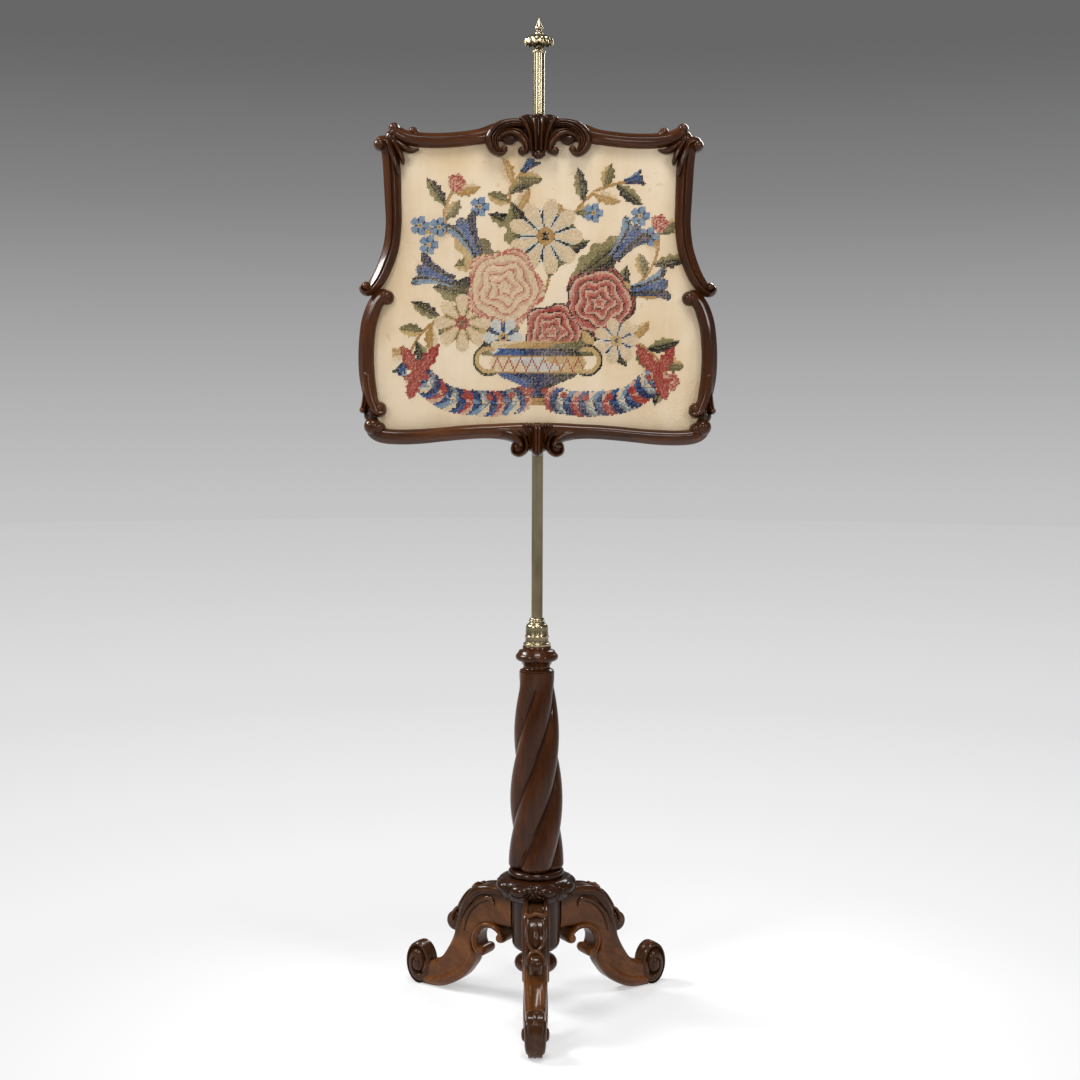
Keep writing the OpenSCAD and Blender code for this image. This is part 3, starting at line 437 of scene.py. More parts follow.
class Piece:
    """Puts shells into Blender as pieces that ride on the part's bodies."""

    @staticmethod
    def make(name: str, shells: Sequence[Shell], body: str, slot: Slot, material: bpy.types.Material,
             *nodes: str, sharp: float = 45.0) -> bpy.types.Object:
        """One smooth object of all the shells, with sharp edges over an angle and attributes for its finish.

        Args:
            name: Name of the piece.
            shells: Its closed surfaces.
            body: Name of the body it rides on.
            slot: Material slot of the record; not used.
            material: Its finish.
            nodes: Nodes of the frame that it stands for.
            sharp: Angle in degrees over which an edge stays sharp.

        Returns:
            The new object.
        """
        mesh = bpy.data.meshes.new(name)
        starts = np.cumsum([0] + [len(s.points) for s in shells])[:-1]
        Piece.fill(mesh, np.vstack([s.points for s in shells]),
                   np.vstack([s.quads + n for s, n in zip(shells, starts)]),
                   np.vstack([s.tris + n for s, n in zip(shells, starts)]))
        stain_and_shade = np.concatenate([np.broadcast_to(s.stain_and_shade, len(s.points)) for s in shells])
        Piece.attribute(mesh, "stain_and_shade", stain_and_shade)
        Piece.clean(mesh)
        Piece.wear(mesh)
        mesh.set_sharp_from_angle(angle=math.radians(sharp))
        return Piece.put(name, mesh, body, slot, material, *nodes)

    @staticmethod
    def put(name: str, mesh: bpy.types.Mesh, body: str, slot: Slot, material: bpy.types.Material,
            *nodes: str) -> bpy.types.Object:
        """Makes a mesh an object with a body and a finish that stands for some nodes.

        Args:
            name: Name of the piece.
            mesh: Its mesh.
            body: Name of the body it rides on.
            slot: Material slot of the record; not used.
            material: Its finish.
            nodes: Nodes of the frame that it stands for.

        Returns:
            The new object.
        """
        mesh.materials.append(material)
        piece = bpy.data.objects.new(name, mesh)
        bpy.context.scene.collection.objects.link(piece)
        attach(piece, body)
        if nodes:
            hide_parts(*nodes)
        LOG.info("%s: %d faces on %s", name, len(mesh.polygons), body)
        return piece

    @staticmethod
    def fill(mesh: bpy.types.Mesh, points: Array, quads: Array, tris: Array) -> None:
        """Writes points and faces into a mesh as whole arrays, in metres in the part's frame.

        Args:
            mesh: The empty mesh.
            points: Corners in millimetres, one a row.
            quads: Four-sided faces.
            tris: Three-sided faces.
        """
        corners = np.concatenate([quads.ravel(), tris.ravel()])
        sizes = np.concatenate([np.full(len(quads), 4), np.full(len(tris), 3)])
        mesh.vertices.add(len(points))
        mesh.vertices.foreach_set("co", (points * MM + [0, POLE_Y, 0]).ravel().astype(np.float32))
        mesh.loops.add(len(corners))
        mesh.loops.foreach_set("vertex_index", corners.astype(np.int32))
        mesh.polygons.add(len(sizes))
        mesh.polygons.foreach_set("loop_start",
                                  np.concatenate([[0], np.cumsum(sizes)[:-1]]).astype(np.int32))
        mesh.update(calc_edges=True)
        mesh.validate()

    @staticmethod
    def corners(mesh: bpy.types.Mesh) -> Array:
        """The corners of a mesh, one a row, in metres in the part's frame.

        Args:
            mesh: The mesh.

        Returns:
            One corner a row.
        """
        co = np.empty(len(mesh.vertices) * 3, np.float32)
        mesh.vertices.foreach_get("co", co)
        return co.reshape(-1, 3)

    @staticmethod
    def attribute(mesh: bpy.types.Mesh, name: str, values: Array) -> None:
        """Adds a number for each corner."""
        mesh.attributes.new(name, "FLOAT", "POINT").data.foreach_set("value", values.astype(np.float32))

    @staticmethod
    def clean(mesh: bpy.types.Mesh) -> None:
        """Merges doubled corners, drops faces without area and points every closed shell's faces outwards.

        Args:
            mesh: The mesh.
        """
        work = bmesh.new()
        work.from_mesh(mesh)
        bmesh.ops.remove_doubles(work, verts=work.verts, dist=2e-6)
        bmesh.ops.dissolve_degenerate(work, edges=work.edges, dist=1e-7)
        bmesh.ops.recalc_face_normals(work, faces=work.faces)
        work.to_mesh(mesh)
        work.free()
        mesh.polygons.foreach_set("use_smooth", np.ones(len(mesh.polygons), bool))

    @staticmethod
    def wear(mesh: bpy.types.Mesh, reach: float = 2.5 * MM, rounds: int = 4) -> None:
        """Adds the attribute worn: 0 in hollows, 0.5 on flats and 1 on edges; it drives rubbed edges and
        painted shade.

        The bend at a corner is minus twice its normal times its offset to the mean of its neighbours, over
        their mean squared distance. The bend times the reach goes through tanh and is smoothed over the
        neighbours.

        Args:
            mesh: The mesh.
            reach: Length that counts as a tight bend.
            rounds: Times that the result is averaged over its neighbours.
        """
        count = len(mesh.vertices)
        co = Piece.corners(mesh)
        normal = np.empty(count * 3, np.float32)
        ends = np.empty(len(mesh.edges) * 2, np.int32)
        mesh.vertices.foreach_get("normal", normal)
        mesh.edges.foreach_get("vertices", ends)
        normal, ends = normal.reshape(-1, 3), ends.reshape(-1, 2)
        a, b = np.concatenate([ends, ends[:, ::-1]]).T
        links = np.maximum(np.bincount(a, minlength=count), 1)
        offset = co[b] - co[a]
        square = np.bincount(a, (offset**2).sum(1), count) / links
        along = np.bincount(a, (offset * normal[a]).sum(1), count) / links
        wear_and_shade = 0.5 + 0.5 * np.tanh(-2 * along / np.maximum(square, 1e-12) * reach)
        for _ in range(rounds):
            wear_and_shade = 0.5 * wear_and_shade + 0.5 * np.bincount(a, wear_and_shade[b], count) / links
        Piece.attribute(mesh, "wear_and_shade", wear_and_shade)


# Shaders

class Term:
    """A socket's value in a shader expression: the operators add Math nodes."""

    def __init__(self, shader: Shader, socket: bpy.types.NodeSocket | None) -> None:
        """Keeps the socket and the shader that its nodes belong to."""
        self.shader = shader
        self.socket = socket

    def math(self, operation: str, *others: Term | float) -> Term:
        """A Math node of this value and others."""
        return self.shader.node("ShaderNodeMath", {"operation": operation}, dict(enumerate((self, *others))))

    def __add__(self, other: Term | float) -> Term:
        """This plus another."""
        return self.math("ADD", other)

    def __mul__(self, other: Term | float) -> Term:
        """This times another."""
        return self.math("MULTIPLY", other)

    def __sub__(self, other: Term | float) -> Term:
        """This less another."""
        return self.math("SUBTRACT", other)

    def __rsub__(self, other: float) -> Term:
        """A number less this."""
        return self.shader.node("ShaderNodeMath", {"operation": "SUBTRACT"}, {0: other, 1: self})

    __radd__ = __add__
    __rmul__ = __mul__

    def clamp(self, low: float, high: float) -> Term:
        """This value brought from a range to the range of 0 to 1, smoothly and with its ends cut off."""
        return self.shader.node("ShaderNodeMapRange", {"interpolation_type": "SMOOTHSTEP"},
                                {0: self, 1: low, 2: high})


class Shader:
    """One material under construction."""

    def __init__(self, name: str) -> None:
        """Starts an empty material.

        Args:
            name: Name of the material.
        """
        self.material = bpy.data.materials.new(name)
        self.material.use_nodes = True
        self.tree = self.material.node_tree
        self.tree.nodes.clear()

    @classmethod
    def on(cls, tree: bpy.types.NodeTree) -> Shader:
        """A shader that works on the emptied nodes of a world.

        Args:
            tree: The world's nodes.

        Returns:
            The shader.
        """
        made = cls.__new__(cls)
        made.tree = tree
        tree.nodes.clear()
        return made

    def node(self, kind: str, settings: dict | None = None, inputs: dict | None = None,
             output: int = 0) -> Term:
        """Adds any node.

        Args:
            kind: Type of the node.
            settings: Properties, set first; stops gives a colour ramp's stops.
            inputs: Values or terms by socket name or number.
            output: Number of the output that is returned.

        Returns:
            The node's output as a term.
        """
        made = self.tree.nodes.new(kind)
        for key, value in (settings or {}).items():
            if key == "stops":
                self.set_stops(made.color_ramp, value)
            else:
                setattr(made, key, value)
        for key, value in (inputs or {}).items():
            if isinstance(value, Term):
                self.tree.links.new(value.socket, made.inputs[key])
            else:
                made.inputs[key].default_value = value
        return Term(self, made.outputs[output] if made.outputs else None)

    @staticmethod
    def set_stops(color_ramp: bpy.types.ColorRamp, stops: Sequence[tuple[float, Colour]]) -> None:
        """Gives a colour ramp its stops of place and colour.

        Args:
            color_ramp: The ramp.
            stops: Places from 0 to 1, each with its colour.
        """
        while len(color_ramp.elements) < len(stops):
            color_ramp.elements.new(1.0)
        for element, (place, colour) in zip(color_ramp.elements, stops):
            element.position = place
            element.color = (*colour, 1.0)

    def place(self, turn: tuple = (0, 0, 0), scale: tuple = (1, 1, 1)) -> Term:
        """Object coordinates, turned by degrees and then stretched.

        Args:
            turn: Turn about each axis in degrees.
            scale: Stretch along each turned axis.

        Returns:
            The coordinates.
        """
        here = self.node("ShaderNodeTexCoord", output=3)
        turned = self.node("ShaderNodeMapping", {},
                           {"Vector": here, "Rotation": [math.radians(d) for d in turn]})
        return self.node("ShaderNodeMapping", {}, {"Vector": turned, "Scale": scale})

    def axis(self, number: int) -> Term:
        """One object coordinate in metres."""
        return self.node("ShaderNodeSeparateXYZ", {}, {0: self.place()}, number)

    def noise(self, scale: tuple, detail: float = 3.0, rough: float = 0.55, turn: tuple = (0, 0, 0)) -> Term:
        """Noise from about 0 to 1 with a number of waves in a metre along each turned axis."""
        return self.node("ShaderNodeTexNoise", {}, {"Vector": self.place(turn, scale), "Scale": 1.0,
                                                    "Detail": detail, "Roughness": rough})

    def attribute(self, name: str, output: int = 2) -> Term:
        """An attribute of the mesh; output 0 is its colour and 2 its number."""
        return self.node("ShaderNodeAttribute", {"attribute_name": name}, output=output)

    def mix(self, share: Term | float, a: Term | Colour, b: Term | Colour, blend: str = "MIX") -> Term:
        """A mix of two colours."""
        a, b = (v if isinstance(v, Term) else (*v, 1.0) for v in (a, b))
        return self.node("ShaderNodeMix", {"data_type": "RGBA", "blend_type": blend},
                         {0: share, 6: a, 7: b}, 2)

    def colours(self, value: Term, stops: Sequence[tuple[float, Colour]]) -> Term:
        """A colour ramp over a value."""
        return self.node("ShaderNodeValToRGB", {"stops": stops}, {"Fac": value})

    def greys(self, value: Term, stops: Rows) -> Term:
        """A ramp of greys over a value."""
        return self.colours(value, [(place, (grey, grey, grey)) for place, grey in stops])

    def seen(self) -> Term:
        """1 for rays from the camera, from mirrors and through glass, and 0 for the rest."""
        camera, glossy, through = (self.node("ShaderNodeLightPath", output=k) for k in (0, 3, 6))
        return camera.math("MAXIMUM", glossy).math("MAXIMUM", through)

    def relief(self, height: Term, strength: float, depth: float) -> Term:
        """A normal bumped by a height."""
        return self.node("ShaderNodeBump", {}, {"Height": height, "Strength": strength, "Distance": depth})

    def finish(self, inputs: dict) -> bpy.types.Material:
        """Closes the material with one Principled shader of these inputs."""
        self.node("ShaderNodeOutputMaterial", {},
                  {"Surface": self.node("ShaderNodeBsdfPrincipled", {}, inputs)})
        return self.material


def tint(colour: Colour, share: float) -> Colour:
    """A colour made darker or lighter by a share."""
    return tuple(share * c for c in colour)


@dataclass(frozen=True)
class Wood:
    """Polished wood with solid grain.

    Attributes:
        name: Name of the material.
        turn: Turn in degrees that brings the grain's direction to the z axis.
        mid: Colour of the ground.
        warm: Colour of the early wood.
        dark: Colour of the late wood and of the stained parts; a darker tint of it is the painted shade in
            hollows.
    """

    name: str
    turn: tuple[float, float, float] = (0.0, 0.0, 0.0)
    mid: Colour = (0.047, 0.0132, 0.0030)
    warm: Colour = (0.086, 0.0262, 0.0065)
    dark: Colour = (0.0145, 0.0050, 0.0021)

    def material(self) -> bpy.types.Material:
        """Growth rings bent by noise, fine fibres and pores along the grain, painted shade in hollows,
        rubbed edges.

        Returns:
            The new material.
        """
        s = Shader(self.name)
        figure = s.noise((20.0, 20.0, 2.0), 4.0, 0.5, self.turn)
        rings = (figure * 30.0
                 + s.noise((80.0, 80.0, 8.0), 3.0, 0.55, self.turn) * 2.0).math("SINE") * 0.5 + 0.5
        fibres = s.noise((260.0, 260.0, 9.0), 3.0, 0.6, self.turn)
        mottle = s.noise((14.0, 14.0, 6.0), 4.0, 0.55, self.turn)
        pores = s.noise((700.0, 700.0, 28.0), 1.0, 0.5, self.turn).clamp(0.6, 0.72)
        grain = (rings * 0.16 + fibres * 0.42 + mottle * 0.48).clamp(0.28, 0.86)
        wear_and_shade = s.attribute("wear_and_shade")
        hollow = 1 - wear_and_shade.clamp(0.18, 0.5)
        edge = wear_and_shade.clamp(0.62, 0.9)
        stain_and_shade = s.attribute("stain_and_shade")
        ground = s.colours(grain, [(0.0, tint(self.mid, 0.55)), (0.5, self.mid), (1.0, self.warm)])
        # Stain darkens the wood; on the fillers in the bottom corners it is a painted shadow.
        ground = s.mix(stain_and_shade * 0.85, ground, self.dark)
        ground = s.mix(pores * 0.35, ground, self.dark)
        # Painted shade: the hollows are darkened nearly to black.
        ground = s.mix(hollow * 0.9, ground, tint(self.dark, 0.3))
        ground = s.mix(edge * mottle * 0.5, ground, tint(self.warm, 1.4))
        rough = mottle * 0.14 + fibres * 0.06 + hollow * 0.25 + 0.2
        height = fibres * 0.6 - pores * 0.5 + mottle * 0.5
        return s.finish({"Base Color": ground, "Roughness": rough, "Coat Weight": (1 - hollow) * 0.36,
                         "Coat Roughness": 0.1, "Specular IOR Level": 0.05,
                         "Normal": s.relief(height, 0.2, 0.0005)})


@dataclass(frozen=True)
class Brass:
    """Old brass with a dull film that is rubbed off along its edges.

    Attributes:
        name: Name of the material.
        bright: Colour of rubbed metal.
        film: Colour of the film.
        cover: Share of the surface that the film covers.
        dull: Roughness of the rubbed metal.
    """

    name: str
    bright: Colour = (0.47, 0.405, 0.265)
    film: Colour = (0.19, 0.156, 0.088)
    cover: float = 0.5
    dull: float = 0.22

    def material(self) -> bpy.types.Material:
        """Cloudy film and brown spots over yellow metal.

        Returns:
            The new material.
        """
        s = Shader(self.name)
        clouds = s.noise((30.0, 30.0, 8.0), 3.0, 0.5)
        spots = s.noise((260.0, 260.0, 260.0)).clamp(0.68, 0.84)
        wear_and_shade = s.attribute("wear_and_shade")
        hollow = 1 - wear_and_shade.clamp(0.2, 0.5)
        rubbed = wear_and_shade.clamp(0.6, 0.9)
        film = (clouds + hollow * 0.3 - rubbed * 0.2).clamp(0.62 - self.cover * 0.4, 0.98 - self.cover * 0.3)
        colour = s.mix(film, self.bright, self.film)
        colour = s.mix(spots * 0.2, colour, tint(self.film, 0.35))
        colour = s.mix(hollow * 0.5, colour, tint(self.film, 0.25))
        rough = film * 0.08 + spots * 0.1 + self.dull
        return s.finish({"Base Color": colour, "Metallic": 1 - (hollow * 0.35), "Roughness": rough,
                         "Normal": s.relief(clouds - spots * 0.3, 0.02, 0.0003)})


@dataclass(frozen=True)
class Canvas:
    """Aged cream canvas: threads both ways, stains, and a border darkened by grime and a painted shadow of
    the frame.

    Attributes:
        name: Name of the material.
        cream: Colour of the clean cloth.
        tan: Colour of its yellowed parts.
        frame_shadow_and_grime: Colour of the dirt along the frame and of the painted shadow that the frame
            casts there.
        threads: Threads in a metre.
    """

    name: str
    cream: Colour = (0.66, 0.54, 0.385)
    tan: Colour = (0.58, 0.425, 0.245)
    frame_shadow_and_grime: Colour = (0.30, 0.205, 0.115)
    threads: float = 640.0

    def material(self) -> bpy.types.Material:
        """Plain weave of two waves, slubs along each thread, faded blotches, foxing, and a border of grime
        and painted shadow.

        Returns:
            The new material.
        """
        s = Shader(self.name)
        blotch = s.noise((9.0, 9.0, 6.0), 4.0, 0.6)
        warp_fade = s.noise((60.0, 60.0, 2.5), 2.0)
        fox = s.noise((75.0, 75.0, 75.0), 2.0).clamp(0.66, 0.78)
        turn = math.pi * self.threads
        weave = (s.axis(0) * turn).math("SINE") * (s.axis(2) * turn).math("SINE")
        slub = s.noise((900.0, 900.0, 60.0), 2.0) + s.noise((60.0, 900.0, 900.0), 2.0)
        cloth = s.mix(blotch.clamp(0.35, 0.75), self.cream, self.tan)
        cloth = s.mix(warp_fade.clamp(0.45, 0.8) * 0.4, cloth, (0.70, 0.58, 0.46))
        cloth = s.mix(fox * 0.35, cloth, (0.42, 0.25, 0.11))
        cloth = s.mix(weave.clamp(-1.0, 0.6) * 0.22 + 0.78, (0.34, 0.25, 0.15), cloth)
        # Towards the frame the cloth darkens: grime, and a painted shadow of the frame on the canvas.
        cloth = s.mix((s.attribute("border") + blotch * 0.5).clamp(0.66, 1.5) * 0.8, cloth, self.frame_shadow_and_grime)
        return s.finish({"Base Color": cloth, "Roughness": slub * 0.06 + 0.84, "Sheen Weight": 0.1,
                         "Sheen Roughness": 0.5, "Normal": s.relief(weave * 0.6 + slub * 0.5, 0.5, 0.0005)})


@dataclass(frozen=True)
class Wool:
    """Stitched wool whose colour is an attribute of each stitch.

    Attributes:
        name: Name of the material.
    """

    name: str

    def material(self) -> bpy.types.Material:
        """Fibres and slight fading over the stitch's own colour.

        Returns:
            The new material.
        """
        s = Shader(self.name)
        fade = s.noise((22.0, 22.0, 22.0))
        fibres = s.noise((1900.0, 1900.0, 1900.0), 2.0)
        colour = s.mix(fade.clamp(0.35, 0.85) * 0.1, s.attribute("wool", 0), (0.50, 0.38, 0.25))
        colour = s.mix(fibres.clamp(0.35, 0.7) * 0.2, colour, (0.03, 0.025, 0.02), "MULTIPLY")
        return s.finish({"Base Color": colour, "Roughness": fibres * 0.1 + 0.82, "Specular IOR Level": 0.2,
                         "Normal": s.relief(fibres, 0.4, 0.0004)})


@dataclass(frozen=True)
class BareWood:
    """Unpolished or oiled plain wood for the back of the screen.

    Attributes:
        name: Name of the material.
        light: Colour of the early wood.
        dark: Colour of the late wood.
        turn: Turn in degrees that brings the grain's direction to the z axis.
    """

    name: str
    light: Colour = (0.42, 0.27, 0.13)
    dark: Colour = (0.28, 0.155, 0.065)
    turn: tuple[float, float, float] = (0.0, 0.0, 0.0)

    def material(self) -> bpy.types.Material:
        """Straight grain lines, fibres and handling dirt.

        Returns:
            The new material.
        """
        s = Shader(self.name)
        rings = (s.noise((26.0, 26.0, 1.6), 4.0, 0.55, self.turn) * 60.0).math("SINE") * 0.5 + 0.5
        fibres = s.noise((420.0, 420.0, 12.0), 3.0, 0.55, self.turn)
        dirt = s.noise((11.0, 11.0, 5.0), 4.0, 0.55, self.turn)
        colour = s.mix(rings * 0.6 + fibres * 0.3, self.light, self.dark)
        colour = s.mix(dirt.clamp(0.5, 0.8) * 0.5, colour, tint(self.dark, 0.4))
        return s.finish({"Base Color": colour, "Roughness": fibres * 0.15 + dirt * 0.15 + 0.5,
                         "Normal": s.relief(fibres + rings * 0.4, 0.3, 0.0004)})


# The frame of the screen

@dataclass
class Carving:
    """Carved scroll frame of the screen.

    Attributes:
        half_w: Half the width of the frame.
        low: Height of the cartouche's underside.
        height: Height from there to the top of the crest.
        back: Place of the frame's back.
        depth: Depth of the moulding.
        lip: Depth of the rebate behind the moulding's inner lip.
        rebate: Distance of the rebate's wall inside the moulding's middle.
        rail_w: Width of the rails.
        stile_w: Width of the stiles.
    """

    half_w: float = 248.0
    low: float = 794.0
    height: float = 472.0
    back: float = -24.0
    depth: float = 30.0
    lip: float = 17.4
    rebate: float = 3.0
    rail_w: float = 21.0
    stile_w: float = 24.0

    @property
    def face(self) -> Face:
        """The frame's back, from which its carving stands out towards the viewer."""
        return Face(self.back, -1)

    @property
    def over(self) -> float:
        """Height of the underside of carving that hangs over the canvas."""
        return self.lip + 0.7

    def spots(self, rows: Rows) -> Array:
        """Rows of shares across and up, width, and depth as a share, as places and sizes in millimetres."""
        r = np.asarray(rows, float)
        return np.stack([r[:, 0] * self.half_w, self.low + r[:, 1] * self.height, r[:, 2],
                         r[:, 3] * self.depth], 1)

    def moulding(self, rows: Rows, section: Array, start: float, end: float, mirror: bool = False) -> Shell:
        """The frame's moulding: a section carried along a path, with a rebate behind its inner lip.

        Args:
            rows: Shares across and up, width, and depth as a share, clockwise round the frame.
            section: Points of share across and share of the depth.
            start: Length of the rounding at the start.
            end: Length of the rounding at the end.
            mirror: Whether the rows are the right half of a path that is the same on both sides.

        Returns:
            The closed shell.
        """
        knots = self.spots(rows)
        if mirror:
            knots = np.vstack([knots[:0:-1] * [-1, 1, 1, 1], knots])
        s = spline(knots, 14)
        soft = rounding(s[:, :2], start, end)
        width = s[:, 2:3] * soft
        depth = s[:, 3:4] * (0.7 + 0.3 * soft)
        lip = np.minimum(self.lip, 0.6 * depth)
        inner = np.maximum(-self.rebate, -0.45 * width)
        across = np.hstack([0.5 * width, section[:, 0] * width, -0.5 * width, inner, inner])
        out = np.hstack([0 * width, section[:, 1] * depth, lip, lip, 0 * width])
        return self.face.carry(s[:, :2], across, out)

    def band(self, rows: Rows, section: Array, base: float, start: float = 5.0, end: float = 5.0) -> Shell:
        """A carved band through rows of shares across and up, width, and depth as a share."""
        return self.face.band(self.spots(rows), section, base, start, end)

    def knob(self, u: float, v: float, radius: float, depth: float, base: float = 0.0,
             squash: float = 1.0) -> Shell:
        """A knob at shares across and up, with its depth as a share."""
        return self.face.knob(u * self.half_w, self.low + v * self.height, radius,
                              depth * self.depth, base, squash)

    def crest(self) -> list[Shell]:
        """Cresting of the top rail: a fluted fan between a pair of curled leaves and a pair of C-scrolls.

        Returns:
            The shells of the cresting.
        """
        base = self.over
        scroll = [[0.055, 0.959, 9, 0.96], [0.11, 0.966, 12, 1.04], [0.16, 0.965, 13, 1.08],
                  [0.215, 0.953, 17, 1.12], [0.254, 0.926, 20, 1.12], [0.249, 0.9, 17, 1.08],
                  [0.222, 0.884, 12, 1.02], [0.196, 0.884, 8, 0.98], [0.184, 0.893, 5, 0.92]]
        leaf = [[0.224, 0.919, 6, 0.84], [0.2, 0.934, 9, 0.92], [0.16, 0.941, 11, 1.0],
                [0.115, 0.936, 13, 1.08], [0.08, 0.92, 13, 1.1], [0.062, 0.9, 10, 1.08],
                [0.067, 0.886, 7, 1.0], [0.085, 0.88, 5, 0.94]]
        reed = [[0.014, 0.885, 5, 1.06], [0.0155, 0.92, 6.5, 1.2], [0.02, 0.955, 8, 1.22],
                [0.024, 0.983, 8.5, 1.1]]
        edge = [[0.036, 0.884, 4, 1.06], [0.041, 0.907, 5, 1.16], [0.049, 0.933, 6, 1.22],
                [0.066, 0.955, 6.5, 1.2], [0.084, 0.972, 6, 1.1], [0.105, 0.9835, 4.5, 0.98]]
        side = [self.band(scroll, reeds(5, 1.7, 1.7, 1.7), base, 5, 5),
                self.band(leaf, reeds(5, 2), base, 4, 4), self.band(reed, ONE_REED, base, 3, 4),
                self.band(edge, ONE_REED, base, 3, 3), self.knob(0.089, 0.886, 6.0, 1.06, base),
                self.knob(0.224, 0.9245, 5.4, 0.96, base), self.knob(0.187, 0.892, 4.8, 1.02, base),
                self.knob(0.16, 0.926, 10.0, 0.72, base)]
        fan = self.face.fan(self.low + 0.873 * self.height, self.low + 0.987 * self.height,
                            [-1, -0.3, 0.3, 1],
                            [(0, 9), (0.2, 10), (0.4, 13), (0.7, 19.5), (0.9, 25), (1, 27)],
                            [(0, 24), (0.1, 29), (0.5, 32.5), (0.85, 31.5), (1, 28)], base, 7.0)
        foot = self.knob(0.0, 0.877, 8.0, 0.96, base, 0.75)
        return [replace(s, stain_and_shade=0.7) for s in [fan, foot] + side + [s.mirrored() for s in side]]

    def top_rail(self) -> list[Shell]:
        """Top rail with its cresting, its bulbous ends and a leaf tip behind each end.

        Returns:
            The shells of the rail.
        """
        w = self.rail_w
        half = [[0, 0.944, w + 13, 0.66], [0.2, 0.942, w + 9, 0.72], [0.32, 0.93, w + 1, 0.86],
                [0.43, 0.922, w, 0.88], [0.54, 0.918, w, 0.88], [0.65, 0.919, w, 0.9],
                [0.73, 0.926, w - 1, 0.94], [0.777, 0.9385, w - 2, 0.98], [0.7955, 0.9515, w - 4.5, 0.98]]
        tip = [[0.66, 0.926, 12, 0.6], [0.688, 0.942, 13, 0.7], [0.71, 0.955, 12, 0.66]]
        ends = [self.knob(0.7945, 0.9515, 8.0, 1.02), self.band(tip, ONE_REED, 6.0, 0, 6)]
        rail = self.moulding(half, PLAIN_ROLL, 5, 5, mirror=True)
        return [rail] + self.crest() + ends + [s.mirrored() for s in ends]

    def cartouche(self) -> list[Shell]:
        """Cartouche of the bottom rail: two lobes that hang between a pair of hooked volutes.

        Returns:
            The shells of the cartouche.
        """
        lobes = [[0, 0.101, 21, 1.0], [0, 0.085, 21, 1.06], [0, 0.06, 18, 1.08], [0, 0.03, 17, 1.1],
                 [0, 0.003, 15, 1.0]]
        hook = [[0.115, 0.0845, 4, 0.92], [0.0766, 0.0644, 5, 1.02], [0.0605, 0.0449, 6, 1.08],
                [0.0635, 0.0231, 7, 1.08], [0.0996, 0.0085, 7, 1.04], [0.1347, 0.0138, 5.5, 1.0],
                [0.143, 0.028, 4.5, 0.96], [0.1347, 0.0364, 3.5, 0.9]]
        body = [[0.2, 0.074, 20, 0.84], [0.15, 0.0675, 19, 0.88], [0.115, 0.055, 16, 0.94],
                [0.094, 0.0395, 14, 0.98], [0.094, 0.0235, 12, 0.94]]
        leaf = [[0.088, 0.0975, 5, 0.9], [0.058, 0.085, 7, 1.0], [0.0464, 0.0644, 6, 1.04],
                [0.043, 0.0424, 4, 1.0]]
        side = [self.band(hook, ONE_REED, 3.0, 4, 3), self.band(body, ONE_REED, 3.0, 0, 6),
                self.band(leaf, ONE_REED, 4.0, 3, 3), self.knob(0.0265, 0.095, 4.0, 1.06, 6.0),
                self.knob(0.06, 0.096, 4.2, 0.98, 6.0), self.knob(0.106, 0.029, 11.0, 0.86, 2.0)]
        ground = [[0, 0.1, 40, 0.86], [0, 0.075, 38, 0.9], [0, 0.05, 37, 0.9], [0, 0.03, 35, 0.86],
                  [0, 0.014, 28, 0.8]]
        middle = [self.band(lobes, reeds(1, 1, groove=0.12), 3.0, 3, 6),
                  self.band(ground, ONE_REED, 2.0, 3, 8)]
        return [replace(s, stain_and_shade=0.55) for s in middle + side + [s.mirrored() for s in side]]

    def bottom_rail(self) -> list[Shell]:
        """Bottom rail with its cartouche and a pair of knobs at each corner.

        Returns:
            The shells of the rail.
        """
        w = self.rail_w
        half = [[0, 0.074, w + 9, 0.8], [0.14, 0.077, w + 4, 0.82], [0.24, 0.078, w, 0.86],
                [0.33, 0.077, w - 1, 0.87], [0.435, 0.073, w - 1, 0.88], [0.55, 0.067, w - 1, 0.88],
                [0.66, 0.062, w, 0.89], [0.775, 0.06, w, 0.9], [0.86, 0.0635, w, 0.92],
                [0.907, 0.073, w - 1, 0.86], [0.93, 0.0885, w - 3, 0.78], [0.935, 0.102, w - 6, 0.72]]
        mirrored = [[-row[0], *row[1:]] for row in half[1:]]
        rail = self.moulding(half[::-1] + mirrored, PLAIN_ROLL, 7, 7)
        ends = [self.knob(0.9215, 0.0915, 12.2, 1.05), self.knob(0.884, 0.085, 9.4, 0.97)]
        return [rail] + self.cartouche() + ends + [s.mirrored() for s in ends]

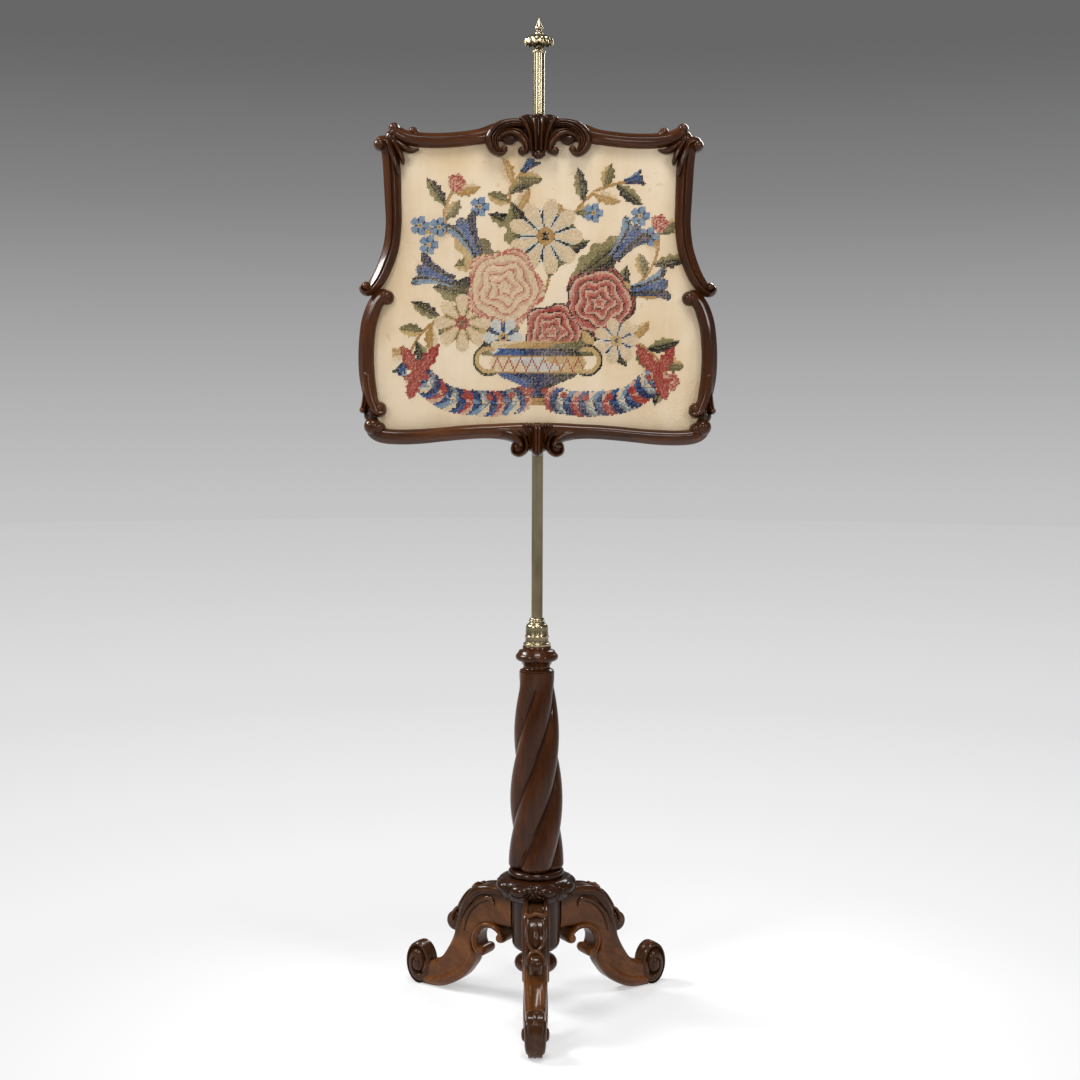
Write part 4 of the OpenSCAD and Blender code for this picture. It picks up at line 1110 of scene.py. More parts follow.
    def stile(self) -> list[Shell]:
        """Right stile: an upper scroll with a knob at its head, a lower scroll, and leaves in both corners.

        Returns:
            The shells of the stile.
        """
        w, base = self.stile_w, self.over
        upper = [[0.885, 0.899, w - 9, 0.82], [0.862, 0.911, w - 5, 0.92], [0.828, 0.898, w - 2, 0.95],
                 [0.812, 0.855, w, 0.95], [0.806, 0.80, w, 0.93], [0.802, 0.74, w - 1, 0.92],
                 [0.8, 0.675, w - 2, 0.92], [0.817, 0.606, w - 2, 0.94], [0.862, 0.541, w - 3, 0.98],
                 [0.906, 0.503, w - 5, 0.99], [0.945, 0.485, w - 9, 0.97], [0.970, 0.489, w - 13, 0.94],
                 [0.974, 0.504, w - 17, 0.88]]
        lower = [[0.829, 0.472, w - 4, 0.95], [0.862, 0.471, w - 4, 0.97], [0.9, 0.449, w - 3, 0.97],
                 [0.926, 0.416, w - 2, 0.97], [0.944, 0.377, w - 2, 0.97], [0.955, 0.308, w - 2, 0.97],
                 [0.951, 0.238, w - 2, 0.96], [0.932, 0.175, w - 4, 0.9], [0.92, 0.13, w - 6, 0.76]]
        shells = [self.moulding(upper, BEADED_ROLL, 8, 5), self.moulding(lower, PLAIN_ROLL, 8, 8),
                  self.knob(0.873, 0.9045, 9.3, 0.98), self.knob(0.953, 0.4985, 6.6, 1.02),
                  self.knob(0.839, 0.466, 10.6, 0.95), self.knob(0.9, 0.486, 10.0, 0.66)]
        leaves = [[[0.832, 0.913, 6, 1.02], [0.806, 0.882, 9, 1.1], [0.783, 0.848, 8, 1.08],
                   [0.771, 0.815, 4, 0.96]],
                  [[0.802, 0.917, 6, 0.98], [0.771, 0.89, 8, 1.04], [0.751, 0.866, 7, 1.0],
                   [0.742, 0.847, 4, 0.9]],
                  [[0.79, 0.916, 8, 0.88], [0.742, 0.897, 10, 0.92], [0.7, 0.888, 8, 0.86],
                   [0.655, 0.892, 3, 0.76]]]
        shells += [replace(self.band(rows, ONE_REED, base, 3, 4), stain_and_shade=0.7) for rows in leaves]
        shells += [self.knob(0.805, 0.925, 11.0, 0.88), self.knob(0.822, 0.9, 14.0, 0.82)]
        foot = [[0.951, 0.26, 16, 0.98], [0.942, 0.203, 20, 1.03], [0.921, 0.16, 20, 1.05],
                [0.893, 0.1345, 16, 1.03], [0.863, 0.1335, 11, 0.98], [0.851, 0.147, 6, 0.92]]
        leaf = [[0.96, 0.21, 7, 0.82], [0.964, 0.17, 9, 0.88], [0.974, 0.146, 8, 0.86],
                [0.989, 0.1385, 5, 0.8]]
        # The fully dark knob fills the gap between the stile's foot and the bottom rail: a painted shadow in
        # that gap.
        shells += [self.band(foot, ONE_REED, 3.0, 8, 3), self.knob(0.877, 0.1455, 8.4, 1.0, 3.0),
                   self.band(leaf, reeds(1, 1), 3.0, 5, 4), self.knob(0.976, 0.139, 5.0, 0.86),
                   replace(self.knob(0.93, 0.124, 10.5, 0.72), stain_and_shade=1.0)]
        return shells

    def build(self) -> None:
        """Makes the two rails and the two stiles."""
        rail_wood = Wood("wood_rails", turn=(0, 90, 0), warm=(0.110, 0.036, 0.0100)).material()
        stile_wood = Wood("wood_stiles").material()
        Piece.make("top_rail_carved", self.top_rail(), "screen", Slot.CARVED, rail_wood, "top_rail")
        Piece.make("bottom_rail_carved", self.bottom_rail(), "screen", Slot.CARVED, rail_wood, "bottom_rail")
        right = self.stile()
        left = [s.mirrored() for s in right]
        Piece.make("right_stile_carved", right, "screen", Slot.CARVED, stile_wood, "right_stile")
        Piece.make("left_stile_carved", left, "screen", Slot.CARVED, stile_wood, "left_stile")


# The stand

@dataclass
class Stand:
    """Column, hub, drop finial and legs.

    Attributes:
        hub_low: Height of the hub's underside.
        hub_h: Height of the hub.
        hub_r: Radius of its barrel.
        rim_r: Radius of its carved rim.
        ovals: Number of carved ovals on the rim.
        oval_turn: Angle in degrees by which the ovals stand askew to the legs.
        drop_r: Radius of the drop finial's bulb.
        shaft_h: Length of the twisted shaft.
        shaft_foot_r: Radius of the shaft at its foot.
        shaft_top_r: Radius of the shaft at its top.
        lobes: Number of lobes in the twist.
        pitch: Height in which a lobe goes once round.
        lobe_reach: Distance of a lobe's centre from the axis as a share of the radius.
        hollow_z: Height on the shaft at which hollows lie at its two sides.
        neck_r: Radius of the turned neck's ring.
        foot_reach: Distance from the axis to the tip of a toe.
        knee_h: Height of a knee.
        leg_w: Thickness of a leg over its carving.
        toe_core_w: Thickness of the toe between its eyes.
        toe_w: Width of the toe across its eyes.
        toe_r: Half the height of the toe's scroll.
        toe_half: Half the length of the toe's scroll.
        bracket_r: Radius of the C-scroll under the knee.
    """

    hub_low: float = 84.0
    hub_h: float = 119.0
    hub_r: float = 34.5
    rim_r: float = 55.5
    ovals: int = 8
    oval_turn: float = -5.0
    drop_r: float = 31.0
    shaft_h: float = 286.0
    shaft_foot_r: float = 39.6
    shaft_top_r: float = 25.0
    lobes: int = 4
    pitch: float = 420.0
    lobe_reach: float = 0.46
    hollow_z: float = 163.0
    neck_r: float = 30.4
    foot_reach: float = 220.0
    knee_h: float = 170.0
    leg_w: float = 36.0
    toe_core_w: float = 23.0
    toe_w: float = 36.0
    toe_r: float = 32.0
    toe_half: float = 22.0
    bracket_r: float = 24.0

    @property
    def ankle(self) -> float:
        """Place along a leg from which its knots are counted."""
        return self.foot_reach - self.toe_r

    def column(self) -> list[Shell]:
        """Twisted shaft and turned neck.

        In the lobe's own angle a, the shaft's radius is r (c cos a + sqrt((1 - c)^2 - (c sin a)^2)): round
        lobes whose centres lie at c r. The lobes turn with the height and die out under the neck.

        Returns:
            The shaft and the neck.
        """
        v = np.concatenate([np.linspace(0, 0.03, 14)[:-1], np.linspace(0.03, 1, 260)])[:, None]
        step = TAU / self.lobes
        angle = circle(192)
        z = v * self.shaft_h
        twist = math.radians(45) + TAU * (z - self.hollow_z) / self.pitch
        inside = np.mod(angle - twist + step / 2, step) - step / 2
        c = self.lobe_reach * np.minimum(1, 10 * (1 - v) + 0.1)
        share = c * np.cos(inside) + np.sqrt((1 - c) ** 2 - (c * np.sin(inside)) ** 2)
        radius = self.shaft_foot_r - (self.shaft_foot_r - self.shaft_top_r) * v**2
        foot = 9 * (1 - np.sqrt(np.clip(1 - (1 - np.clip(v / 0.026, 0, 1)) ** 2, 0, 1)))
        arris = 0.5 * np.exp(-((np.abs(inside) - 0.80 * step / 2) / 0.035) ** 2) * (1 - ramp(v, 0.86, 0.98))
        r = (radius - foot) * share + arris
        seat = self.hub_low + self.hub_h
        shaft = np.stack([r * np.cos(angle), r * np.sin(angle), seat + z + 0 * angle], -1)
        low_r, shoulder, rim = self.shaft_top_r - 1, self.neck_r - 5.4, 20.2
        neck = np.vstack([[[18, -5], [low_r - 2, 0], [low_r, 0.8], [low_r, 2.2]],
                          arc(self.neck_r - 7.4, 7, 4, 230, 130), [[self.neck_r - 8, 14.2]],
                          arc(self.neck_r - 5.5, 21, 5.5, -72, 62, 18),
                          [[shoulder + 0.6, 29.4], [shoulder, 30.2], [rim + 0.2, 31.4], [rim, 32.2],
                           [rim, 36.2], [rim - 0.8, 37.0], [5, 37.0]]])
        return [Shell.grid(shaft), lathe(neck + [0, seat + self.shaft_h], 128)]

    def hub(self) -> list[Shell]:
        """Turned hub with ovals on its rim, each a boss in a raised ring, and a dart between each pair.

        The bosses are added to the radius: half an ellipsoid inside the oval and a narrow ridge round it.

        Returns:
            The hub.
        """
        rim_z, rim_round = self.hub_h - 25, 14.0
        middle = self.rim_r - rim_round
        profile = np.vstack([[[9, 0]], arc(self.hub_r - 13, 13, 13, -90, 0),
                             [[self.hub_r, 30], [self.hub_r, 60], [self.hub_r, rim_z - 18],
                              [self.hub_r + 0.6, rim_z - 17], [self.hub_r + 2.4, rim_z - 16.4]],
                             arc(middle, rim_z - 2, rim_round, -75, 0),
                             arc(middle, rim_z + 1, rim_round, 0, 70, 18),
                             [[self.rim_r - 13.4, rim_z + 14.6], [self.rim_r - 16, rim_z + 15.0],
                              [self.rim_r - 17.6, self.hub_h - 10]],
                             arc(self.rim_r - 20.5, self.hub_h - 5, 5.2, -70, 75, 16),
                             [[self.rim_r - 22, self.hub_h], [14, self.hub_h]]])
        run = lengths(profile)
        fine = np.linspace(0, run[-1], 250)
        profile = np.stack([np.interp(fine, run, profile[:, k]) for k in (0, 1)], 1)
        step = TAU / self.ovals
        from_oval = np.mod(circle(360) + math.pi / 2 - math.radians(self.oval_turn), step) - step / 2
        rise = profile[:, 1:2] - (rim_z + 3.5)
        on_rim = (profile[:, :1] > middle + 2) * (np.abs(profile[:, 1:2] - rim_z) < 22)
        far = np.sqrt((from_oval * (self.rim_r - 3) / 16.0) ** 2 + (rise / 9.0) ** 2)
        boss = 3.6 * np.sqrt(np.clip(1 - (far / 0.82) ** 2, 0, 1)) + 1.5 * bump(far, 1.02, 0.12)
        gap = (step / 2 - np.abs(from_oval)) * self.rim_r
        dart = (2.0 * bump(gap, 0.0, 2.4) * bump(rise, 0.0, 12.0)
                + 1.0 * bump(np.abs(rise) - 1.6 * gap, 4.0, 2.0))
        shell = lathe(profile + [0, self.hub_low], 360, (boss + dart * (far > 1.1)) * on_rim)
        return [replace(shell, stain_and_shade=0.75)]

    def drop(self) -> list[Shell]:
        """Turned drop finial under the hub.

        Returns:
            The drop finial.
        """
        profile = np.vstack([[[6, 4], [7.9, 3.5], [16, 0], [17, -2], [15, -6]],
                             arc(self.drop_r - 11, -20, 11, 75, -75, 24), [[13, -33], [9, -36]],
                             arc(0, -40, 9, 15, -90)])
        return [lathe(profile + [0, self.hub_low])]

    def limb(self) -> Shell:
        """Body of a leg: flat sides, rounded edges, and two flutes with a ridge between them down the shin.

        A ring of the body is a superellipse between the upper and the lower edge. The flutes sink its outer
        face by a parabola on each side of the ridge, from the knee to the toe.

        Returns:
            The closed shell.
        """
        ankle, hub, knee = self.ankle, self.hub_r, self.knee_h
        under, step, w = self.hub_low + 2 + self.bracket_r, 1.16 * self.toe_r, self.leg_w - 5
        knots = [[hub - 1, knee - 6, hub - 1, under + 2, w], [hub + 26, knee - 3, hub + 26, under + 1, w],
                 [hub + 46, knee - 1, hub + 46, under - 2, w],
                 [ankle - 82, knee - 13, ankle - 93, knee - 72, w],
                 [ankle - 67, knee - 32, ankle - 87, knee - 92, w + 1],
                 [ankle - 60, knee - 58, ankle - 91, knee - 112, w + 2],
                 [ankle - 54, step + 48, ankle - 86, 43, w + 3],
                 [ankle - 42, step + 25, ankle - 69, 23, w + 1],
                 [ankle - 30, step + 10, ankle - 48, 9, w - 2], [ankle - 14, step + 2, ankle - 25, 1, w - 6],
                 [ankle + 2, step, ankle + 2, 0, self.toe_core_w]]
        s = spline(knots, 14)
        turn = circle(128) + 0.02
        up = 0.5 + 0.5 * power(np.sin(turn), 0.42)
        side = power(np.cos(turn), 0.34)
        along = np.linspace(0, 1, len(s))[:, None]
        flute = np.clip(1 - ((np.abs(side) - 0.19) / 0.15) ** 2, 0, 1) + 0.5 * bump(np.abs(side), 0.78, 0.12)
        sink = 3.6 * flute * ramp(up, 0.75, 0.95) * ramp(along, 0.54, 0.64) * (1 - ramp(along, 0.84, 0.9))
        edge = s[:, :4].reshape(-1, 2, 2)
        line = edge[:, 0] - edge[:, 1]
        share = up - sink / np.linalg.norm(line, axis=1)[:, None]
        taper = 1 - 0.12 * (1 - up) * ramp(along, 0.45, 0.7)
        points = np.stack([s[:, 2:3] + line[:, :1] * share, side * s[:, 4:5] / 2 * taper,
                           np.maximum(s[:, 3:4] + line[:, 1:] * share, 0.0)], -1)
        stain_and_shade = ramp(up, 0.55, 0.9) * (1 - ramp(along, 0.5, 0.62)) + 0 * along
        return Shell.grid(points, stain_and_shade=stain_and_shade.ravel())

    def leg_sides(self) -> list[Shell]:
        """Carving on one side of a leg: border, curled leaf, C-scroll ridge, strip to the toe and spirals.

        Returns:
            The shells of the carving.
        """
        face, side, hub, knee = Face(0.0, 1), self.leg_w / 2 - 2.5, self.hub_r, self.knee_h
        border = [[hub + 10, knee - 5, 12, side + 2.0], [hub + 26, knee - 6.5, 13, side + 3.4],
                  [hub + 43, knee - 7.5, 15, side + 4.0], [93, knee - 13, 16, side + 4.2],
                  [105.4, knee - 27, 15, side + 4.2], [114, knee - 41, 12, side + 4.0],
                  [118.5, knee - 53, 9, side + 3.6], [120, knee - 65, 5, side + 3.0]]
        leaf = [[61.5, knee - 30, 3, side + 2.0], [62, knee - 22.5, 6, side + 3.4],
                [69, knee - 18, 9, side + 4.6], [79, knee - 21, 10, side + 4.8],
                [88, knee - 26, 9.5, side + 4.4], [101.5, knee - 39, 9, side + 4.0],
                [108.5, knee - 52, 8, side + 3.6], [112, knee - 66, 6, side + 3.0],
                [114, knee - 78, 3, side + 2.2]]
        ridge = [[*(np.array([hub + 37, self.hub_low + 2])
                    + (self.bracket_r + 2) * np.array([math.cos(a), math.sin(a)])),
                  6.0, side + 3.4]
                 for a in np.radians(np.linspace(158, -52, 12))]
        strip = [[100, 70, 9, side + 0.8], [108, 50, 15, side + 1.6], [122, 33, 19, side + 1.8],
                 [139, 21, 19, side + 1.2], [157, 13.5, 18, side - 0.6], [176, 10.5, 15, side - 2.0],
                 [190, 9.5, 11, side - 3.0]]
        core, eye = self.toe_core_w / 2, self.toe_w / 2
        shells = [face.band(border, reeds(3, 2, groove=0.16), side - 4, 0, 5),
                  face.band(leaf, ONE_REED, side - 4, 4, 7),
                  face.volute((self.foot_reach - self.toe_half, self.toe_r), self.toe_r - 0.6,
                              (core - 8, core + 0.6, eye + 1.0), 1.35, -100, 6.0, self.toe_half / self.toe_r,
                              0.27),
                  face.volute((135, knee - 65), 12.0, (3.0, 7.6, 9.6), 1.0, 60, 2.0)]
        shells = [replace(s, stain_and_shade=0.85) for s in shells]
        return shells + [face.band(ridge, ONE_REED, side - 4, 3, 3),
                         face.band(strip, ONE_REED, side - 8, 6, 6)]

    def knee_front(self) -> list[Shell]:
        """Front of the knee: a long cabochon in a raised U, a bow above it, and a roll with a lip below it.

        Returns:
            The shells of the carving.
        """
        lean = math.radians(32)
        along = np.array([-math.sin(lean), 0, math.cos(lean)])
        outward = np.array([math.cos(lean), 0, math.sin(lean)])
        middle = np.array([self.ankle - 72, 0, self.knee_h - 28])

        def on_front(rows: Rows, lift: float) -> Array:
            """Points of the knee's front from rows of distance across, up the knee and out of it."""
            p = spline(rows, 10)
            return middle + p[:, :1] * [0, 1, 0] + p[:, 1:2] * along + (p[:, 2:3] + lift) * outward

        v = np.radians(np.linspace(-90, 90, 25))[:, None]
        turn = circle(40)
        wide = 5.4 * np.cos(v) * (1 - 0.2 * np.sin(v)) * np.cos(turn)
        out = 5.4 * np.cos(v) * np.sin(turn) + 0.6
        stone = (middle + wide[..., None] * [0, 1, 0] + (18 * np.sin(v) + 0 * turn)[..., None] * along
                 + out[..., None] * outward)
        rim = on_front([[-9.5, 21, -2.5], [-11.5, 8, 0], [-11, -9, 0.6], [-7, -19, 0.4], [0, -24, 0],
                        [7, -19, 0.4], [11, -9, 0.6], [11.5, 8, 0], [9.5, 21, -2.5]], 1.4)
        bow = on_front([[-15, 31, -7], [-10, 25.5, -3.4], [-4, 27, -2.6], [0, 28.5, -2.8], [4, 27, -2.6],
                        [10, 25.5, -3.4], [15, 31, -7]], 0.5)
        lip = on_front([[-10.5, -43, -1], [-10, -34, 3], [-6, -27.5, 4.5], [0, -25.5, 5], [6, -27.5, 4.5],
                        [10, -34, 3], [10.5, -43, -1]], 0.5)
        shells = [Shell.grid(stone), tube(rim, 2.2), tube(bow, 3.0), tube(lip, 3.0)]
        y = np.linspace(-8, 8, 19)
        shells.append(across_roll((135, self.knee_h - 65),
                                  np.stack([y, 15 - 3.2 * (np.abs(y) / 8) ** 4], 1)))
        return [replace(s, stain_and_shade=0.85) for s in shells]

    def leg(self) -> list[Shell]:
        """One leg along +x: body, toe scroll, knee carving and the C-scroll under the knee.

        Returns:
            The shells of the leg.
        """
        core = self.toe_core_w / 2
        y = np.linspace(6.2 - core, core - 6.2, 31)
        ridge = self.toe_r - 1.0 * np.clip(1 - ((np.abs(y) - 0.28 * core) / (0.2 * core)) ** 2, 0, 1)
        toe = across_roll((self.foot_reach - self.toe_half, self.toe_r), np.stack([y, ridge], 1), 96,
                          self.toe_half / self.toe_r)
        sides = self.leg_sides()
        return ([self.limb(), replace(toe, stain_and_shade=0.7)] + self.knee_front() + self.bracket()
                + sides + [s.mirrored(1) for s in sides])

    def bracket(self) -> list[Shell]:
        """C-scroll under the knee: a rounded band round an arc with a curl at each end.

        Returns:
            The shells of the C-scroll.
        """
        side = self.leg_w / 2 - 1.5
        middle = np.array([self.hub_r + 37, self.hub_low + 2])
        angle = np.radians(np.linspace(-50, 158, 72))[:, None]
        turn = circle(48)
        radius = self.bracket_r + 4.0 * power(np.sin(turn), 0.6)
        band = np.stack([middle[0] + radius * np.cos(angle), power(np.cos(turn), 0.3) * side + 0 * angle,
                         middle[1] + radius * np.sin(angle)], -1)
        shells = [replace(Shell.grid(band), stain_and_shade=0.2)]
        y = np.linspace(-side - 1.8, side + 1.8, 21)
        curl = 7.6 - 2.4 * (np.abs(y) / (side + 1.8)) ** 6
        for a in np.radians([-50, 158]):
            at = middle + (self.bracket_r - 2.5) * np.array([math.cos(a), math.sin(a)])
            shells.append(across_roll(at, np.stack([y, curl], 1), 40))
        return shells

    def build(self) -> None:
        """Makes the column, the hub, the drop finial and the legs."""
        upright = Wood("wood_turned").material()
        Piece.make("column_twisted", self.column(), "stand", Slot.CARVED, upright, "column", sharp=50)
        Piece.make("hub_carved", self.hub(), "stand", Slot.CARVED, upright, "hub", sharp=60)
        Piece.make("drop_turned", self.drop(), "stand", Slot.CARVED, upright, "drop_finial", sharp=50)
        leg = self.leg()
        for name, turn in (("leg_front", -90.0), ("leg_left", 150.0), ("leg_right", 30.0)):
            wood = Wood(f"wood_{name}", (0, 58, -turn), (0.114, 0.037, 0.0076), (0.168, 0.060, 0.0145),
                        (0.021, 0.0080, 0.0036))
            Piece.make(f"{name}_carved", [s.turned(turn) for s in leg], "stand", Slot.CARVED,
                       wood.material(), name, sharp=50)


# Metalwork

@dataclass
class Metal:
    """Pole, ferrule, cap and finial.

    Attributes:
        pole_r: Radius of the pole.
        pole_low: Height of the pole's foot in the column.
        pole_top: Height of its top.
        ferrule_low: Height of the ferrule's foot.
        ferrule_h: Height of the ferrule.
        ferrule_r: Radius of its flange.
        finial_h: Height of the finial above the pole.
        canopy_r: Radius of its canopy.
        scallops: Number of scallops round the canopy.
    """

    pole_r: float = 8.0
    pole_low: float = 462.0
    pole_top: float = 1352.0
    ferrule_low: float = 526.0
    ferrule_h: float = 39.0
    ferrule_r: float = 19.6
    finial_h: float = 48.0
    canopy_r: float = 20.5
    scallops: int = 12

    def pole(self) -> list[Shell]:
        """Drawn tube, with rings close enough for its wear attribute."""
        z = np.linspace(self.pole_low + 1, self.pole_top, 120)
        return [lathe(np.stack([np.full(len(z), self.pole_r), z], 1), 64)]

    def ferrule(self) -> list[Shell]:
        """Turned ferrule: flange, barrel with a bead, domed shoulder and collar.

        Returns:
            The ferrule.
        """
        throat, barrel, shoulder, h = (self.pole_r + 2.4, self.ferrule_r - 3, self.ferrule_h - 13,
                                       self.ferrule_h)
        profile = np.vstack([[[9, 0.2], [self.ferrule_r - 0.6, 0.2]],
                             arc(self.ferrule_r - 1.5, 2.4, 1.5, -40, 90, 8),
                             [[barrel + 0.3, 5.0], [barrel, 6.0], [barrel - 0.4, 11.6]],
                             arc(barrel - 0.5, 13.2, 1.25, -80, 80, 8),
                             [[barrel - 0.6, 15], [barrel - 0.8, shoulder]],
                             arc(barrel - 6.8, shoulder, 6, 0, 62, 10),
                             [[throat + 0.4, h - 5.6], [throat + 0.3, h - 4.6]],
                             arc(throat + 0.2, h - 3.2, 1.05, -80, 80, 8),
                             [[throat, h - 1.8], [throat, h - 0.6], [throat - 0.6, h],
                              [self.pole_r + 0.1, h]]])
        return [lathe(profile + [0, self.ferrule_low])]

    def cap(self) -> list[Shell]:
        """Cap with a rounded lip on top of the pole.

        Returns:
            The cap.
        """
        profile = np.vstack([[[6, -2], [self.pole_r, -0.2]], arc(self.pole_r + 0.2, 1.5, 1.4, -80, 80, 12),
                             [[self.pole_r - 1, 3.0], [3, 3.0]]])
        return [lathe(profile + [0, self.pole_top], 64)]

    def finial(self) -> list[Shell]:
        """Finial: stem, bell canopy with scallops, two beads and a spire.

        The scallops add half a sine wave's arch to the radius over the canopy's lower part, and their lower
        edges hang in arcs.

        Returns:
            Stem and top as one turned shell, and the canopy.
        """
        low, high, cone = 12.0, 24.0, self.finial_h - 15
        stem = np.vstack([[[2.9, 0.5], [5.9, 3.4], [5.9, 4.4], [4.6, 6.0], [4.4, 9.0], [4.4, high - 1],
                           [4.4, high + 0.4]],
                          arc(3.2, high + 2.3, 2.4, -55, 55, 12), [[2.6, high + 4.6]],
                          arc(2.2, high + 6.0, 1.5, -50, 50, 10),
                          [[2.5, cone - 1.2], [4.2, cone - 0.6], [5.6, cone], [5.8, cone + 1.2],
                           [4.9, cone + 3.4], [3.2, cone + 7.5], [1.5, cone + 11.6], [0.5, cone + 14.2],
                           [0.05, self.finial_h]]])
        share = np.linspace(0, 1, 40)
        outer = np.stack([4.6 + (self.canopy_r - 6.4) * np.sin(share * np.pi / 2) ** 0.85,
                          high + 0.6 - (high - low - 2) * (1 - np.cos(share * np.pi / 2)) ** 1.15], 1)
        profile = np.vstack([outer, outer[::-1] * [0.88, 1] + [0, -1.4]])
        angle = circle(self.scallops * 16)
        arch = np.abs(np.sin(angle * self.scallops / 2))
        down = np.concatenate([share, share[::-1]])[:, None]
        radius = profile[:, :1] + 1.9 * arch * ramp(down, 0.25, 0.85)
        z = self.pole_top + profile[:, 1:2] - 2.4 * arch * ramp(down, 0.75, 1.0)
        bell = np.stack([radius * np.cos(angle), radius * np.sin(angle), z], -1)
        return [lathe(stem + [0, self.pole_top], 64),
                Shell.grid(np.concatenate([bell, bell[:1]]), caps=False)]

    def build(self) -> None:
        """Makes the pole and what is fixed on it."""
        turned = Brass("brass_turned", (0.40, 0.33, 0.20), cover=0.6).material()
        # The pole's brass is a darker copy of the turned brass: painted shade on the pole.
        pole_brass_shaded = Brass("brass_pole", (0.30, 0.252, 0.155), (0.14, 0.113, 0.060), 0.6, 0.24).material()
        Piece.make("pole_tube", self.pole(), "stand", Slot.BRASS, pole_brass_shaded, "pole")
        Piece.make("ferrule_turned", self.ferrule(), "stand", Slot.BRASS, turned, "ferrule")
        Piece.make("cap_turned", self.cap(), "stand", Slot.BRASS, turned, "pole_cap")
        Piece.make("finial_turned", self.finial(), "finial", Slot.BRASS, turned, "finial")


@dataclass
class Clamp:
    """Clamp collar behind the screen and its knurled thumbscrew.

    Attributes:
        low: Height of the collar's underside.
        height: Height of the collar.
        radius: Radius of the collar.
        bore: Radius of its bore.
        screw_z: Height of the thumbscrew's axis.
        knob_r: Radius of the knurled head.
        knob_end: Distance of the head's end from the pole's axis.
        ribs: Number of ribs round the head.
    """

    low: float = 1222.46
    height: float = 17.0
    radius: float = 13.0
    bore: float = 8.12
    screw_z: float = 1228.96
    knob_r: float = 6.0
    knob_end: float = 21.5
    ribs: int = 22

    def collar(self) -> list[Shell]:
        """Turned ring with rounded edges and a groove round its upper half.

        Returns:
            The collar.
        """
        r, h = self.radius, self.height
        profile = np.array([[self.bore, 0], [r - 1.2, 0], [r - 0.4, 0.4], [r, 1.2], [r, h - 5.6],
                            [r - 0.9, h - 5.0], [r - 0.9, h - 4.0], [r, h - 3.4], [r, h - 1.2],
                            [r - 0.4, h - 0.4], [r - 1.2, h], [self.bore, h], [self.bore, 0]])
        return [lathe(profile + [0, self.low], 80, caps=False)]

    def screw(self) -> list[Shell]:
        """Shank and knurled head: the head's radius is ribbed by a rectified sine of the angle.

        Returns:
            The thumbscrew.
        """
        head, end, r = self.radius + 0.3, self.knob_end, self.knob_r
        profile = np.array([[0.05, 8.3], [2.38, 8.3], [2.38, head], [r - 1.4, head], [r - 0.5, head + 0.3],
                            [r - 0.3, head + 0.9], [r - 0.3, end - 1.6], [r - 0.6, end - 1.0],
                            [r - 1.6, end - 0.3], [r - 2.4, end], [0.05, end - 0.4]])
        angle = circle(self.ribs * 8)
        radius = profile[:, :1] + 0.3 * np.abs(np.sin(angle * self.ribs / 2)) * (profile[:, :1] > r - 0.7)
        return [Shell.grid(np.stack([radius * np.cos(angle), profile[:, 1:2] + 0 * radius,
                                     self.screw_z + radius * np.sin(angle)], -1))]

    def build(self) -> None:
        """Makes the collar and the thumbscrew."""
        brass = Brass("brass_clamp", cover=0.75).material()
        Piece.make("collar_turned", self.collar(), "clamp", Slot.BRASS, brass, "clamp_collar")
        Piece.make("thumbscrew_knurled", self.screw(), "thumbscrew", Slot.BRASS, brass, "thumbscrew")


class Back:
    """Solids that show as they are: brackets, screws, brads, strainers, dowels and backboard."""

    @staticmethod
    def dress() -> None:
        """Gives each of these solids its finish."""
        fittings = Brass("brass_fittings", cover=0.8).material()
        upright = BareWood("pine_upright").material()
        across = BareWood("pine_across", turn=(0, 90, 0)).material()
        board = BareWood("backboard_oiled", (0.20, 0.105, 0.048), (0.095, 0.045, 0.02)).material()
        dowel = BareWood("dowel_stained", (0.05, 0.02, 0.01), (0.03, 0.012, 0.007)).material()
        finishes = {fittings: ("upper_bracket", "lower_bracket", "bracket_screws", "backboard_brads"),
                    upright: ("strainer_left", "strainer_right"),
                    across: ("strainer_top", "strainer_bottom"), dowel: ("corner_dowels",),
                    board: ("backboard",)}
        for material, names in finishes.items():
            for name in names:
                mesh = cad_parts[name].data
                mesh.materials.clear()
                mesh.materials.append(material)
                LOG.info("%s: %s", name, material.name)


# The needlework

class Dye(Enum):
    """Wool colours, in linear light."""

    NAVY = (0.012, 0.024, 0.080)
    BLUE = (0.030, 0.085, 0.22)
    SKY = (0.16, 0.25, 0.34)
    BRICK = (0.30, 0.040, 0.030)
    ROSE = (0.42, 0.115, 0.085)
    PINK = (0.55, 0.33, 0.23)
    CREAM = (0.62, 0.48, 0.31)
    PEARL = (0.52, 0.52, 0.47)
    GREY = (0.21, 0.23, 0.22)
    OCHRE = (0.38, 0.215, 0.065)
    STRAW = (0.48, 0.325, 0.135)
    OLIVE = (0.125, 0.105, 0.042)
    MOSS = (0.235, 0.195, 0.082)
    SOOT = (0.012, 0.012, 0.013)


GREEN = (Dye.OLIVE, Dye.MOSS, Dye.STRAW)
DARK = (Dye.SOOT, Dye.OLIVE, Dye.MOSS)
BLUES = (Dye.NAVY, Dye.BLUE, Dye.SKY)
GOLD = (Dye.OCHRE, Dye.STRAW, Dye.CREAM)
REDS = (Dye.BRICK, Dye.ROSE, Dye.PINK)
WHITES = (Dye.GREY, Dye.PEARL, Dye.CREAM)


